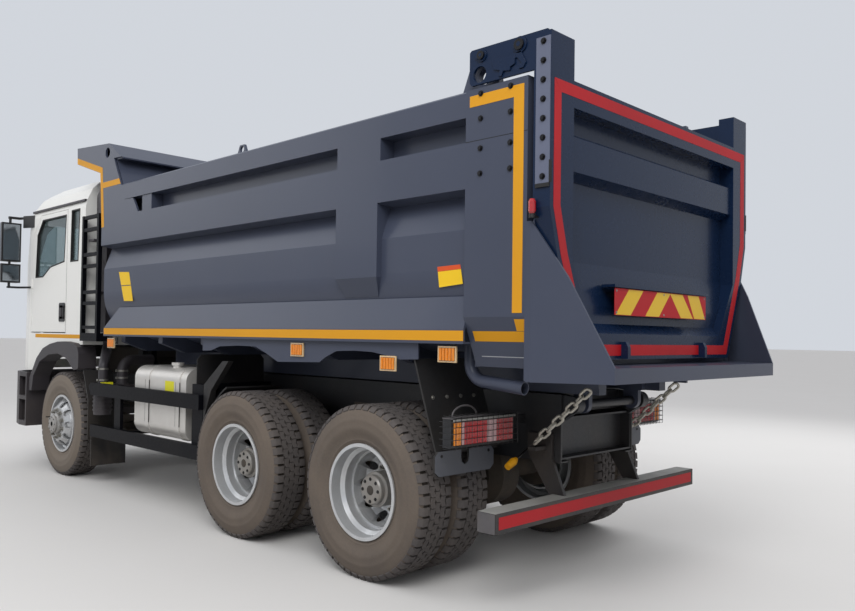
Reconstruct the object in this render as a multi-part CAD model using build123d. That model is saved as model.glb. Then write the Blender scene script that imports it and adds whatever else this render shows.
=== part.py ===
from build123d import *
import os
from math import atan2, cos, degrees, hypot, pi, radians, sin

# Three-axle tipping truck. Millimetres, +X forward, +Y left, +Z up, ground at z = 0.
# Places along X are written from the rearmost axle and shifted by centre_x when a piece is saved.

# Overall
front_end = 6300
rear_end = -1643
centre_x = (front_end + rear_end) / 2

# Wheels and axles
tyre_d = 1085
tyre_w = 300
tyre_wall = 30
rim_d = 600
rim_seat_d = 572
rim_w = 254
rim_wall = 11
axle_z = tyre_d / 2
rear_axle_x = 0
middle_axle_x = 1400
front_axle_x = 4850
twin_outer_y = 1107
twin_inner_y = 767
disc_y = (twin_outer_y + twin_inner_y) / 2
wheel_offset = (twin_outer_y - twin_inner_y) / 2
disc_t = 14
hub_r = 112
hub_end_y = 1150
spindle_r = 52
running_gap = 1
drum_r = 212
hand_hole_r = 33
hand_hole_pitch_r = 205
hand_holes = 10
front_wheel_y = 985
front_disc_y = front_wheel_y + wheel_offset
front_hub_end_y = 1215
kingpin_y = 800
kingpin_r = 22
kingpin_gap = 1
beam_end_h = 120
fork_t = 32
steer_arm_x = -300
tie_rod_z = axle_z - 105
tie_rod_r = 19
ball_gap = 1

# Frame
rail_outer_y = 430
rail_h = 300
rail_flange = 85
rail_t = 10
rail_top_z = 1050
rail_rear_x = -930
rail_front_x = 5980
subframe_h = 120
subframe_w = 80
subframe_front_x = 3700
tip_x = -1000
tip_z = 1110
tip_pin_r = 28
tip_boss_r = 54

# Driveline
gearbox_x = 4380
shaft_z = 870
trunnion_z = 490

# Tipping body
side_y = 1205
plate_t = 12
hull_y = 1163
hull_r = 480
hull_bottom_z = 1420
hull_straight_z = hull_bottom_z + hull_r
waist_low_z = 2120
waist_high_z = 2330
upper_y = 1085
rail_high_z = 2890
top_rail_h = 150
rail_low_z = rail_high_z - top_rail_h
band_drop = 140
band_h = 260
band_high_z = rail_low_z - band_drop
band_low_z = band_high_z - band_h
front_wall_x = 3790
body_rear_x = -1225
post_front_x = -800
beam_y = 330
beam_w = 80
beam_bottom_z = 1180
sill_low_z = 1475
sill_crease_z = 1555
sill_top_z = 1745
sill_top_y = 1138
chute_x = rear_end
chute_y = 1030
chute_top_z = 1368
chute_h = 82

# Tailgate
gate_front_x = -1270
gate_rear_x = -1376
gate_y = 1217
gate_post_w = 212
gate_top_z = 2872
gate_bottom_z = 1400
gate_pin_x = -901
gate_pin_rise = 177
gate_pin_z = rail_high_z + gate_pin_rise
gate_pin_r = 24
gate_post_top_z = gate_pin_z + 23
arm_gap = 15
arm_low_z = rail_high_z + arm_gap

# Cab
cab_y = 1120
cab_wall = 46
cab_rear_x = 4350
cab_floor_z = 1450
cab_low_z = 1380
cab_front_low_z = 1075
cab_nose_x = 6225
cab_screen_base_z = 1850
cab_roof_split_z = 2860
cab_roof_z = 3120
pillar_x = 5730
door_gap = 6
door_rear_x = 4785
door_front_x = 5725
door_low_z = 1500
door_high_z = 2800
glass_t = 6
glass_gap = 0.3
bumper_wall = 40
bumper_rear_x = 5640
bumper_top_z = 1050
bumper_low_z = 450
bumper_y = 1190
cab_pin_x = 6120
cab_pin_z = 1090
cab_pin_r = 24
cab_ear_y = 340
cab_ear_w = 36
hinge_r = 10
hinge_pin_r = 5
hinge_gap = 0.3
hinge_h = 60
hinge_low_zs = (1620, 2020)

# Hoist
hoist_x = 4190
hoist_z = 1100
hoist_eye_x = 4190
hoist_eye_z = 2300
hoist_radii = (95, 82, 70, 59, 48)
hoist_barrel_top = 1040
hoist_gap = 1

# Chains from the frame to the chute
chain_low_x = -820
chain_low_z = 875
chain_high_x = -1196
chain_high_z = 1216
chain_y = 545

# Side equipment
guard_y = 1200
guard_t = 40
tank_front_x = 3200
tank_rear_x = 2300
tank_y = 1125
tank_inner_y = 520
tank_low_z = 600
tank_high_z = 1215

os.makedirs("parts", exist_ok=True)


def box(x0, x1, y0, y1, z0, z1):
    """Box between two corners."""
    centre = Pos((x0 + x1) / 2, (y0 + y1) / 2, (z0 + z1) / 2)
    return centre * Box(abs(x1 - x0), abs(y1 - y0), abs(z1 - z0))


def place(axis, a, b, depth):
    """Point a, b of a profile that stands across the given axis at depth."""
    if axis == "x":
        return (depth, a, b)
    if axis == "y":
        return (a, depth, b)
    return (a, b, depth)


DIRECTIONS = {"x": (1, 0, 0), "y": (0, 1, 0), "z": (0, 0, 1)}


def prism(points, axis, start, end):
    """Straight-sided profile, extruded along an axis from start to end."""
    outline = Wire.make_polygon([place(axis, a, b, start) for a, b in points], close=True)
    return extrude(Face(outline), amount=end - start, dir=DIRECTIONS[axis])


def rod(axis, radius, start, end, a, b):
    """Round bar along an axis, centred on a, b across it."""
    plane = Plane(origin=place(axis, a, b, start), z_dir=DIRECTIONS[axis])
    return extrude(plane * Circle(radius), amount=end - start)


def strut(start, end, radius):
    """Round bar from one point to another."""
    direction = Vector(*end) - Vector(*start)
    plane = Plane(origin=start, z_dir=direction)
    return extrude(plane * Circle(radius), amount=direction.length)


def tube_path(points, radius, bend):
    """Round tube that follows points with equal bends."""
    path = FilletPolyline(*points, radius=bend)
    return sweep(Plane(origin=points[0], z_dir=path % 0) * Circle(radius), path=path)


def turned(profile, centre_x_at, side=1):
    """Ring turned about the axle line from (radius, y) points."""
    points = [(centre_x_at + r, side * y, axle_z) for r, y in profile]
    face = Face(Wire.make_polygon(points, close=True))
    axis = Axis((centre_x_at, 0, axle_z), (0, 1, 0))
    return revolve(face, axis, 360)


def both_sides(solid):
    """The piece and its mirror image across the middle plane."""
    return solid + mirror(solid, about=Plane.XZ)


def right_of(solid):
    return mirror(solid, about=Plane.XZ)


def save(name, solid):
    moved = Pos(-centre_x, 0, 0) * solid
    export_step(moved, f"parts/{name}.step")


def union(pieces):
    total = pieces[0]
    for piece in pieces[1:]:
        total = total + piece
    return total


# Tyres: hollow rings with rounded shoulders, bead to bead
def tyre(x, y):
    half = tyre_w / 2
    outer = tyre_d / 2
    seat = rim_seat_d / 2 + 0.3
    profile = [
        (seat, -102), (315, -118), (380, -half + 4), (450, -half), (508, -half + 16),
        (outer, -half + 38), (outer, half - 38),
        (508, half - 16), (450, half), (380, half - 4), (315, 118), (seat, 102),
        (seat, 102 - tyre_wall), (400, half - tyre_wall - 6), (outer - tyre_wall, half - 58),
        (outer - tyre_wall, 58 - half), (400, tyre_wall + 6 - half), (seat, tyre_wall - 102),
    ]
    return turned([(r, y + w) for r, w in profile], x)


# Wheel: barrel with two flanges, two bead seats and a drop centre, and a dished disc with hand holes.
# Points are (radius, distance from the mounting face towards the wheel's centre).
disc_points = [(hub_r - 20, 0), (168, 0), (186, 6), (228, 48), (246, 103), (252, 141), (238, 141),
               (233, 108), (216, 58), (180, 20), (164, disc_t), (hub_r - 20, disc_t)]


def wheel(x, mount_y, side):
    """Barrel and disc, with the barrel's centre at wheel_offset on the given side of the mounting face."""
    half = rim_w / 2
    seat = rim_seat_d / 2
    flange = rim_d / 2
    well = seat - 26
    back = seat - rim_wall
    front = [(flange, -half), (flange, 12 - half), (seat, 20 - half), (seat, -60), (well, -42),
             (well, 30), (seat, 50), (seat, half - 20), (flange, half - 12), (flange, half)]
    rear = [(back + 3, half), (back, 54), (back - 24, 34), (back - 24, -46), (back, -64),
            (back + 3, -half)]
    barrel = turned([(r, mount_y + side * (wheel_offset + w)) for r, w in front + rear], x)
    disc = turned([(r, mount_y + side * w) for r, w in disc_points], x)
    hole_start = min(mount_y, mount_y + side * 150)
    disc -= holes_ring(x, hand_hole_pitch_r, hand_holes, hand_hole_r, hole_start - 20, hole_start + 170)
    return barrel + disc


def holes_ring(x, radius, count, hole_r, y0, y1):
    holes = []
    for step in range(count):
        angle = 2 * pi * step / count
        holes.append(rod("y", hole_r, y0, y1, x + radius * cos(angle), axle_z + radius * sin(angle)))
    return union(holes)


def twin_rims(x):
    """Two wheels bolted back to back on one hub, with the brake drum behind them."""
    bore = spindle_r + running_gap
    flange_y = disc_y - disc_t
    hub = turned(
        [(bore, 640), (150, 640), (150, 660), (hub_r + 20, 672), (hub_r + 20, flange_y - 18),
         (172, flange_y - 18), (172, flange_y), (hub_r, flange_y), (hub_r, hub_end_y - 46),
         (94, hub_end_y - 40), (94, hub_end_y - 10), (84, hub_end_y), (0, hub_end_y),
         (0, hub_end_y - 70), (bore, hub_end_y - 70)], x)
    drum = turned(
        [(drum_r, 650), (drum_r, 862), (172, flange_y - 16), (hub_r + 10, flange_y - 16),
         (hub_r + 10, flange_y - 30), (166, flange_y - 30), (drum_r - 14, 852), (drum_r - 14, 650)], x)
    return wheel(x, disc_y, 1) + wheel(x, disc_y, -1) + hub + drum


def front_rim(x):
    """One wheel domed outwards, with its hub and brake drum."""
    bore = spindle_r + running_gap
    face = front_disc_y
    flange_y = face - disc_t
    hub = turned(
        [(bore, 912), (118, 912), (118, 1040), (hub_r, 1060), (hub_r, flange_y - 20),
         (168, flange_y - 20), (168, flange_y), (hub_r, flange_y), (hub_r - 4, face + 20),
         (92, face + 34), (92, front_hub_end_y - 10), (80, front_hub_end_y), (0, front_hub_end_y),
         (0, front_hub_end_y - 40), (bore, front_hub_end_y - 40)], x)
    drum = turned(
        [(drum_r, 925), (drum_r, 1080), (168, flange_y - 18), (hub_r - 4, flange_y - 18),
         (hub_r - 4, flange_y - 32), (160, flange_y - 32), (drum_r - 14, 1070), (drum_r - 14, 925)], x)
    return wheel(x, face, -1) + hub + drum


# name, axle place along X
rear_wheels = [("middle", middle_axle_x), ("rear", rear_axle_x)]
for label, x in rear_wheels:
    pair = tyre(x, twin_outer_y) + tyre(x, twin_inner_y)
    rims = twin_rims(x)
    save(f"{label}_left_tyres", pair)
    save(f"{label}_right_tyres", right_of(pair))
    save(f"{label}_left_rims", rims)
    save(f"{label}_right_rims", right_of(rims))

front_tyre = tyre(front_axle_x, front_wheel_y)
front_wheel = front_rim(front_axle_x)
save("front_left_tyre", front_tyre)
save("front_right_tyre", right_of(front_tyre))
save("front_left_rim", front_wheel)
save("front_right_rim", right_of(front_wheel))


# Knuckle: fork round the beam end, king pin, spindle and steering arm
def knuckle():
    x = front_axle_x
    top = axle_z + beam_end_h / 2 + 2
    low = axle_z - beam_end_h / 2 - 2
    back_y = kingpin_y + 62
    fork = [
        box(x - 48, x + 48, kingpin_y - 45, back_y, top, top + fork_t),
        box(x - 48, x + 48, kingpin_y - 45, back_y, low - fork_t, low),
        box(x - 62, x + 62, kingpin_y + 50, back_y + 18, low - fork_t, top + fork_t),
    ]
    pin = rod("z", kingpin_r, low - fork_t - 8, top + fork_t + 8, x, kingpin_y)
    spindle = rod("y", spindle_r, back_y, front_hub_end_y - 44, x, axle_z)
    arm_end_x = x + steer_arm_x
    arm_low = tie_rod_z + 34
    arm = prism([(x - 30, kingpin_y + 40), (x - 30, kingpin_y - 45), (arm_end_x - 34, kingpin_y - 30),
                 (arm_end_x - 34, kingpin_y + 30)], "z", arm_low - 22, arm_low)
    web = box(x - 46, x - 20, kingpin_y - 40, kingpin_y + 40, low - fork_t - 2, low)
    ball = rod("z", 17, tie_rod_z - 30, arm_low, arm_end_x, kingpin_y)
    return union(fork + [pin, spindle, arm, web, ball])


left_knuckle = knuckle()
save("left_knuckle", left_knuckle)
save("right_knuckle", right_of(left_knuckle))

tie_end_x = front_axle_x + steer_arm_x
tie_eye = rod("z", 34, tie_rod_z - 28, tie_rod_z + 4, tie_end_x, kingpin_y)
tie_eye -= rod("z", 17 + ball_gap, tie_rod_z - 40, tie_rod_z + 20, tie_end_x, kingpin_y)
tie_bar = rod("y", tie_rod_r, 25 - kingpin_y, kingpin_y - 25, tie_end_x, tie_rod_z - 16)
tie_bar -= rod("z", 17 + ball_gap, tie_rod_z - 60, tie_rod_z + 20, tie_end_x, kingpin_y)
tie_bar -= rod("z", 17 + ball_gap, tie_rod_z - 60, tie_rod_z + 20, tie_end_x, -kingpin_y)
save("tie_rod", both_sides(tie_eye) + tie_bar)

# Front axle: dropped I-section beam with an eye at each end
x = front_axle_x
beam_low = axle_z - 150
web = prism([(-560, beam_low + 30), (560, beam_low + 30), (720, axle_z - 40), (kingpin_y - 20, axle_z - 40),
             (kingpin_y - 20, axle_z + 40), (700, axle_z + 40), (545, beam_low + 110),
             (-545, beam_low + 110), (-700, axle_z + 40), (20 - kingpin_y, axle_z + 40),
             (20 - kingpin_y, axle_z - 40), (-720, axle_z - 40)], "x", x - 12, x + 12)
top_flange = box(x - 48, x + 48, -545, 545, beam_low + 96, beam_low + 114)
low_flange = box(x - 48, x + 48, -560, 560, beam_low + 20, beam_low + 38)
slope_end = kingpin_y - 30
beam_slope = prism([(540, beam_low + 20), (560, beam_low + 20), (730, axle_z - 44), (slope_end, axle_z - 44),
                    (slope_end, axle_z - 24), (716, axle_z - 24), (540, beam_low + 40)],
                   "x", x - 40, x + 40)
upper_slope = prism([(530, beam_low + 96), (548, beam_low + 96), (706, axle_z + 26), (slope_end, axle_z + 26),
                     (slope_end, axle_z + 44), (696, axle_z + 44), (530, beam_low + 114)],
                    "x", x - 40, x + 40)
beam_eye = rod("z", 44, axle_z - beam_end_h / 2, axle_z + beam_end_h / 2, x, kingpin_y)
beam_eye -= rod("z", kingpin_r + kingpin_gap, axle_z - 200, axle_z + 200, x, kingpin_y)
beam_bore = rod("z", kingpin_r + kingpin_gap, axle_z - 200, axle_z + 200, x, kingpin_y)
slopes = both_sides(beam_slope + upper_slope - beam_bore + beam_eye)
web -= both_sides(beam_bore)
save("front_axle", web + top_flange + low_flange + slopes)


# Driven axles: banjo housings, spindles into the hubs, and the shafts between them
def driven_axle(x):
    tube = rod("y", 78, -560, 560, x, axle_z)
    banjo = turned([(0, -150), (150, -150), (232, -90), (232, 90), (150, 150), (0, 150)], x)
    nose = strut((x + 100, 0, axle_z + 40), (x + 400, 0, axle_z + 90), 105)
    spindle = rod("y", spindle_r, 560, hub_end_y - 74, x, axle_z)
    backing = rod("y", 170, 575, 590, x, axle_z)
    can = rod("y", 62, 430, 545, x + 185, axle_z + 88)
    can_arm = box(x + 60, x + 200, 470, 500, axle_z + 30, axle_z + 90)
    return union([tube, banjo, nose, both_sides(spindle + backing + can + can_arm)])


middle_axle = driven_axle(middle_axle_x)
rear_axle = driven_axle(rear_axle_x)
link_shaft = strut((400, 0, axle_z + 90), (middle_axle_x - 150, 0, axle_z + 120), 48)
main_shaft = strut((middle_axle_x + 380, 0, axle_z + 90), (gearbox_x - 8, 0, shaft_z), 50)
gearbox_flange = rod("x", 62, gearbox_x - 12, gearbox_x, 0, shaft_z)
save("driven_axles", union([middle_axle, rear_axle, link_shaft, main_shaft, gearbox_flange]))


# Ladder frame: two channels and the cross members between them
def frame_rail():
    channel = box(rail_rear_x, rail_front_x, rail_outer_y - rail_flange, rail_outer_y,
                  rail_top_z - rail_h, rail_top_z)
    inside = box(rail_rear_x - 10, rail_front_x + 10, rail_outer_y - rail_flange - 10, rail_outer_y - rail_t,
                 rail_top_z - rail_h + rail_t, rail_top_z - rail_t)
    return channel - inside


save("frame_rails", both_sides(frame_rail()))

# place along X, half width along X, lowest z, highest z
cross_members = [(-880, 45, 770, 1030), (300, 60, 800, 1000), (700, 90, 790, 1010), (2100, 60, 850, 1010),
                 (3400, 60, 880, 1020), (5900, 50, 780, 1020)]
members = []
for x, half, low, high in cross_members:
    beam = box(x - half, x + half, rail_t - rail_outer_y, rail_outer_y - rail_t, low, high)
    beam -= box(x - half - 5, x + half - 12, -rail_outer_y + rail_t + 14, rail_outer_y - rail_t - 14,
                low + 12, high - 12)
    members.append(beam)

# Subframe under the tipping body, with the rear hinge brackets and the hinge bar
sub_low = rail_top_z
sub_high = sub_low + subframe_h
sub_rail = box(rail_rear_x, subframe_front_x, rail_outer_y - subframe_w, rail_outer_y, sub_low, sub_high)
hinge_plate = prism([(rail_rear_x + 220, sub_low), (rail_rear_x + 220, sub_high),
                     (rail_rear_x + 20, sub_high), (tip_x, tip_z + tip_boss_r), (tip_x, tip_z - tip_boss_r),
                     (rail_rear_x, 1010), (rail_rear_x, sub_low)],
                    "y", rail_outer_y - 60, rail_outer_y - 15)
hinge_boss = rod("y", tip_boss_r, rail_outer_y - 75, rail_outer_y - 5, tip_x, tip_z)
sub_side = both_sides(sub_rail + hinge_plate + hinge_boss)
sub_cross = box(subframe_front_x - 120, subframe_front_x, -rail_outer_y, rail_outer_y, sub_low, sub_high)
sub_middle = box(1200, 1300, -rail_outer_y, rail_outer_y, sub_low, sub_high)
sub_rear = box(rail_rear_x + 60, rail_rear_x + 150, -rail_outer_y, rail_outer_y, sub_low, sub_high)
hinge_bar = rod("y", tip_pin_r, -rail_outer_y + 10, rail_outer_y - 10, tip_x, tip_z)
save("subframe", union([sub_side, sub_cross, sub_middle, sub_rear, hinge_bar]))


# Leaf springs: stepped packs, one pair at the front axle and one pair on the rear bogie
def leaf_pack(x, half_length, leaves, leaf_t, width, y, z, hang):
    pack = []
    for step in range(leaves):
        reach = half_length * (1 - 0.72 * step / leaves)
        sag = hang * (reach / half_length) ** 2
        low = z + leaf_t * step * hang / abs(hang)
        end = low + sag
        pack.append(prism([(x - reach, end), (x, low), (x + reach, end), (x + reach, end + leaf_t),
                           (x, low + leaf_t), (x - reach, end + leaf_t)],
                          "y", y - width / 2, y + width / 2))
    return union(pack)


bogie_x = (rear_axle_x + middle_axle_x) / 2
bogie_y = 500
bogie_pack = leaf_pack(bogie_x, 650, 9, 18, 95, bogie_y, 800, -85)
bogie_clamp = box(bogie_x - 110, bogie_x + 110, bogie_y - 62, bogie_y + 62, trunnion_z - 80, 790)
bogie_hanger = prism([(bogie_x - 260, 1000), (bogie_x + 260, 1000), (bogie_x + 260, 760),
                      (bogie_x + 90, trunnion_z - 70), (bogie_x - 90, trunnion_z - 70), (bogie_x - 260, 760)],
                     "y", rail_outer_y, rail_outer_y + 8)
bogie_seats = [box(ax - 60, ax + 60, bogie_y - 50, bogie_y + 50, axle_z + 30, 716)
               - rod("y", 78, -560, 560, ax, axle_z) for ax in (rear_axle_x, middle_axle_x)]
trunnion = rod("y", 52, -560, 560, bogie_x, trunnion_z)
front_pack = leaf_pack(front_axle_x, 800, 4, 22, 90, 390, beam_low + 114, 150)
front_eyes = [rod("y", 34, 345, 435, front_axle_x + end * 790, beam_low + 282) for end in (-1, 1)]
front_hangers = [box(front_axle_x + end * 790 - 45, front_axle_x + end * 790 + 45,
                     rail_outer_y + 0.3, rail_outer_y + 20, beam_low + 250, 1000) for end in (-1, 1)]
springs = [bogie_pack, bogie_clamp, bogie_hanger] + bogie_seats + [front_pack] + front_eyes + front_hangers
save("springs", both_sides(union(springs)) + trunnion)

# Engine and gearbox as one plain mass at their real place
save("engine", box(4700, 5640, -330, 330, 700, 1340) + prism(
    [(4700, 720), (4700, 1240), (gearbox_x, 1040), (gearbox_x, 740)], "y", -140, 140))

# Fuel tank on the left, with its straps and neck
tank_profile = RectangleRounded(tank_y - tank_inner_y, tank_high_z - tank_low_z, 110)
tank_plane = Plane(origin=(tank_rear_x, (tank_y + tank_inner_y) / 2, (tank_high_z + tank_low_z) / 2),
                   x_dir=(0, 1, 0), z_dir=(1, 0, 0))
tank = extrude(tank_plane * tank_profile, amount=tank_front_x - tank_rear_x)
strap_profile = RectangleRounded(tank_y - tank_inner_y + 12, tank_high_z - tank_low_z + 12, 116)
straps = []
for strap_x in (2430, 2960):
    strap_plane = Plane(origin=(strap_x - 32, (tank_y + tank_inner_y) / 2, (tank_high_z + tank_low_z) / 2),
                        x_dir=(0, 1, 0), z_dir=(1, 0, 0))
    straps.append(extrude(strap_plane * strap_profile, amount=64))
    straps.append(box(strap_x - 40, strap_x + 40, rail_outer_y, tank_inner_y + 10, 700, 1000))
tank_neck = rod("z", 42, tank_high_z - 10, 1238, 2640, 1010) + rod("z", 54, 1232, 1256, 2640, 1010)
save("fuel_tank", union([tank, tank_neck] + straps))

# Battery box and air tanks on the right
battery = box(2600, 3200, -1120, -640, 640, 1080)
battery += box(2700, 3120, -650, -rail_outer_y, 760, 980)
air_tanks = []
for z in (690, 930):
    air_tanks.append(rod("x", 118, 2080, 2580, -700, z))
bracket = box(2160, 2200, -620, -rail_outer_y, 680, 1010) + box(2460, 2520, -620, -rail_outer_y, 680, 1010)
save("battery_box", union([battery, bracket] + air_tanks))

# Silencer on the right, behind the front wheel
silencer = rod("z", 190, 560, 1160, 3700, -830)
silencer += box(3640, 3760, -700, -rail_outer_y, 820, 960)
silencer += rod("y", 44, -700, -180, 3700, 690)
silencer += rod("z", 50, 470, 600, 3700, -830)
save("silencer", silencer)

# Air filter on the left, standing in the gap behind the front wheel, with its two hoses
filter_x = 4000
filter_y = 1060
filter_r = 84
filter_body = rod("z", filter_r, 700, 1010, filter_x, filter_y)
for z in (740, 780, 820, 860, 900, 940):
    filter_body += rod("z", filter_r + 8, z, z + 16, filter_x, filter_y)
filter_body += box(3910, 4010, 820, filter_y, 930, 1000) + box(3930, 3980, rail_outer_y, 860, 930, 990)
hose_r = 46
filter_hose = tube_path([(filter_x, filter_y, 1000), (filter_x, filter_y, 1180), (4170, 940, 1390),
                         (4170, 940, 1520)], hose_r, 60)
engine_hose = tube_path([(3960, 880, 990), (3960, 880, 1235), (3960, 560, 1235)], 52, 110)

# Rack behind the cab: ladder, foot and the post that carries them, and the intake duct
ladder_y = 1130
ladder_t = 40
rack = [box(3930, 3970, ladder_y, ladder_y + ladder_t, 1420, 2676),
        box(4275, 4312, ladder_y, ladder_y + ladder_t, 1420, 2676)]
for z in (1540, 1780, 1890, 2150, 2266, 2515, 2640):
    rack.append(box(3960, 4280, ladder_y + 4, ladder_y + ladder_t - 4, z, z + 34))
rack.append(box(3930, 4312, 1040, ladder_y + ladder_t, 1420, 1500))
rack.append(box(4222, 4300, rail_outer_y - 60, 1060, 1484, 1500))
rack.append(box(4222, 4300, rail_outer_y - 60, rail_outer_y, rail_top_z, 1490))
duct = box(4090, 4260, 830, 1010, 1510, 2760)
duct_head = prism([(4090, 2700), (4270, 2700), (4270, 2900), (4200, 2960), (4090, 2960)], "y", 800, 1040)
rack_ties = [box(4120, 4240, 1000, ladder_y, z, z + 20) for z in (1900, 2420)]
save("rear_rack", union(rack))
save("air_intake", union([filter_body, filter_hose, engine_hose, duct, duct_head] + rack_ties))


# Side guards: two long flats on posts, the front end cut on a slant
def side_guard(inner_reach):
    top = prism([(1975, 900), (1975, 1020), (3960, 1020), (4010, 985), (3960, 900)],
                "y", guard_y - guard_t, guard_y)
    bottom = box(1975, 3960, guard_y - guard_t, guard_y, 500, 615)
    rear_post = box(1975, 2140, guard_y - guard_t - 30, guard_y - guard_t, 520, 1100)
    front_post = box(3410, 3530, guard_y - guard_t - 30, guard_y - guard_t, 500, 1020)
    arms = []
    for x0, z0 in ((2070, 1060), (3440, 930), (2070, 560), (3440, 540)):
        reach = inner_reach if z0 > 900 else guard_y - 260
        arms.append(box(x0, x0 + 70, reach, guard_y - guard_t - 10, z0, z0 + 40))
    hangers = [box(x0, x0 + 70, guard_y - 300, guard_y - 260, 560, 1100) for x0 in (2070, 3440)]
    return union([top, bottom, rear_post, front_post] + arms + hangers)


save("side_guards", both_sides(side_guard(rail_outer_y)))


# Mudguards: sheets round the rear wheels, and plates with flaps behind the front wheels
def arch_sheet(x, low_angle, high_angle, radius, y0, y1, t):
    plane = Plane(origin=(x, y0, axle_z), x_dir=(1, 0, 0), z_dir=(0, 1, 0))
    ring = extrude(plane * (Circle(radius) - Circle(radius - t)), amount=y1 - y0)
    reach = radius * 3
    wedge = prism([(x, axle_z)] + [
        (x + reach * cos(radians(a)), axle_z + reach * sin(radians(a)))
        for a in (low_angle, (low_angle + high_angle) / 2, high_angle)], "y", y0 - 1, y1 + 1)
    return ring & wedge


def rear_mudguards():
    front_sheet = arch_sheet(middle_axle_x, -8, 62, 630, 600, 1125, 14)
    front_skirt = prism([(1946, 464), (1965, 464), (1968, 1100), (1700, 1300), (1620, 1300), (1860, 1060),
                         (1946, 860)], "y", 1110, 1160)
    rear_sheet = prism([(-374, 1377), (-560, 826), (-572, 830), (-386, 1381)], "y", 600, 1160)
    brackets = [box(1820, 1880, rail_outer_y, 700, 900, 1000), box(-535, -475, rail_outer_y, 700, 900, 960)]
    return [front_sheet, front_skirt, rear_sheet] + brackets


# Round-ended hanger plate under each rear mudguard, notched in the middle
hanger = prism([(650, 730), (650, 820), (680, 848), (1156, 848), (1186, 820), (1186, 730), (1150, 702),
                (686, 702)], "x", -582, -568)
hanger -= rod("x", 34, -590, -560, 920, 790) + box(-590, -560, 886, 954, 790, 860)
hanger -= box(-590, -560, 740, 810, 758, 772) + box(-590, -560, 1030, 1100, 758, 772)

wheel_plate = prism([(4166, 440), (4180, 440), (4180, 820), (4306, 1120), (4290, 1124), (4166, 826)],
                    "y", 830, 1130)
front_flap = box(4060, 4072, 780, 1140, 190, 540)
plate_arm = box(4066, 4170, 1080, 1110, 500, 540)
front_stay = box(4174, 4230, rail_outer_y, 860, 800, 830)
front_guard = union([wheel_plate, front_flap, plate_arm, front_stay])
save("mudguards", both_sides(union(rear_mudguards() + [hanger])) + both_sides(front_guard))

# Tail lamps with their brackets
lamp = box(-722, -656, 640, 1205, 885, 1050)
lamp_bracket = box(-658, -640, rail_outer_y, 1170, 978, 1030)
save("tail_lamps", both_sides(lamp + lamp_bracket))

# Underrun bar on two legs
underrun = box(-1015, -888, -1170, 1170, 448, 561)
leg = prism([(-1000, 500), (-900, 500), (-700, 800), (-700, 925), (-880, 925), (-880, 780)],
            "y", rail_outer_y, rail_outer_y + 24)
chain_lug = box(chain_low_x - 20, chain_low_x + 40, rail_outer_y + 20, chain_y + 20,
                chain_low_z - 46, chain_low_z - 24)
save("underrun_bar", underrun + both_sides(leg + chain_lug))


# Chains from the frame to the chute: alternating links on a straight line
def link(centre, along, across):
    length, width, wire = 66, 34, 8.5
    normal = along.cross(across)
    plane = Plane(origin=centre, x_dir=along, z_dir=normal)
    ring = RectangleRounded(length + 2 * wire, width + 2 * wire, (width + 2 * wire) / 2 - 0.5)
    hole = RectangleRounded(length, width - 2, (width - 2) / 2 - 0.5)
    return extrude(plane * (ring - hole), amount=wire, both=True)


chain_low = Vector(chain_low_x, chain_y, chain_low_z)
chain_high = Vector(chain_high_x, chain_y, chain_high_z)
chain_line = chain_high - chain_low
chain_links = 8
chain_pieces = []
for step in range(chain_links):
    centre = chain_low + chain_line * ((step + 0.5) / chain_links)
    along = chain_line.normalized()
    flat = along.cross(Vector(0, 0, 1)).normalized()
    across = flat if step % 2 else along.cross(flat)
    chain_pieces.append(link(centre, along, across))
save("chains", both_sides(union(chain_pieces)))

# Tipping body: rounded hull between upright sides, open at the rear
belly = hull_y - hull_r


def hull_profile(depth):
    """Round-bottomed section with a waist, drawn depth inside the outer skin, at the hull's rear end."""
    radius = hull_r - depth
    low = hull_straight_z - radius
    reach = hull_y - depth
    corner = radius * sin(pi / 4)
    x = body_rear_x
    mid_y = belly + corner
    mid_z = hull_straight_z - corner
    right_arc = ThreePointArc((x, -reach, hull_straight_z), (x, -mid_y, mid_z), (x, -belly, low))
    left_arc = ThreePointArc((x, belly, low), (x, mid_y, mid_z), (x, reach, hull_straight_z))
    floor = Line((x, -belly, low), (x, belly, low))
    upper = upper_y - depth
    corners = [(reach, hull_straight_z), (reach, waist_low_z), (upper, waist_high_z), (upper, rail_high_z)]
    points = corners + [(-y, z) for y, z in reversed(corners)]
    walls = [Line((x, *start), (x, *end)) for start, end in zip(points, points[1:])]
    return Face(Wire([right_arc, floor, left_arc] + walls))


body_length = front_wall_x - body_rear_x
hull_outer = extrude(hull_profile(0), amount=body_length, dir=(1, 0, 0))
hull_inner = extrude(hull_profile(plate_t), amount=body_length, dir=(1, 0, 0))
hull = hull_outer - hull_inner
side_zone = box(body_rear_x - 10, front_wall_x + 10, -1400, 1400, hull_straight_z, 4000)
trough = hull - side_zone
side_sheets = hull & box(body_rear_x, front_wall_x, -1400, 1400, hull_straight_z, rail_low_z + 40)

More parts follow.
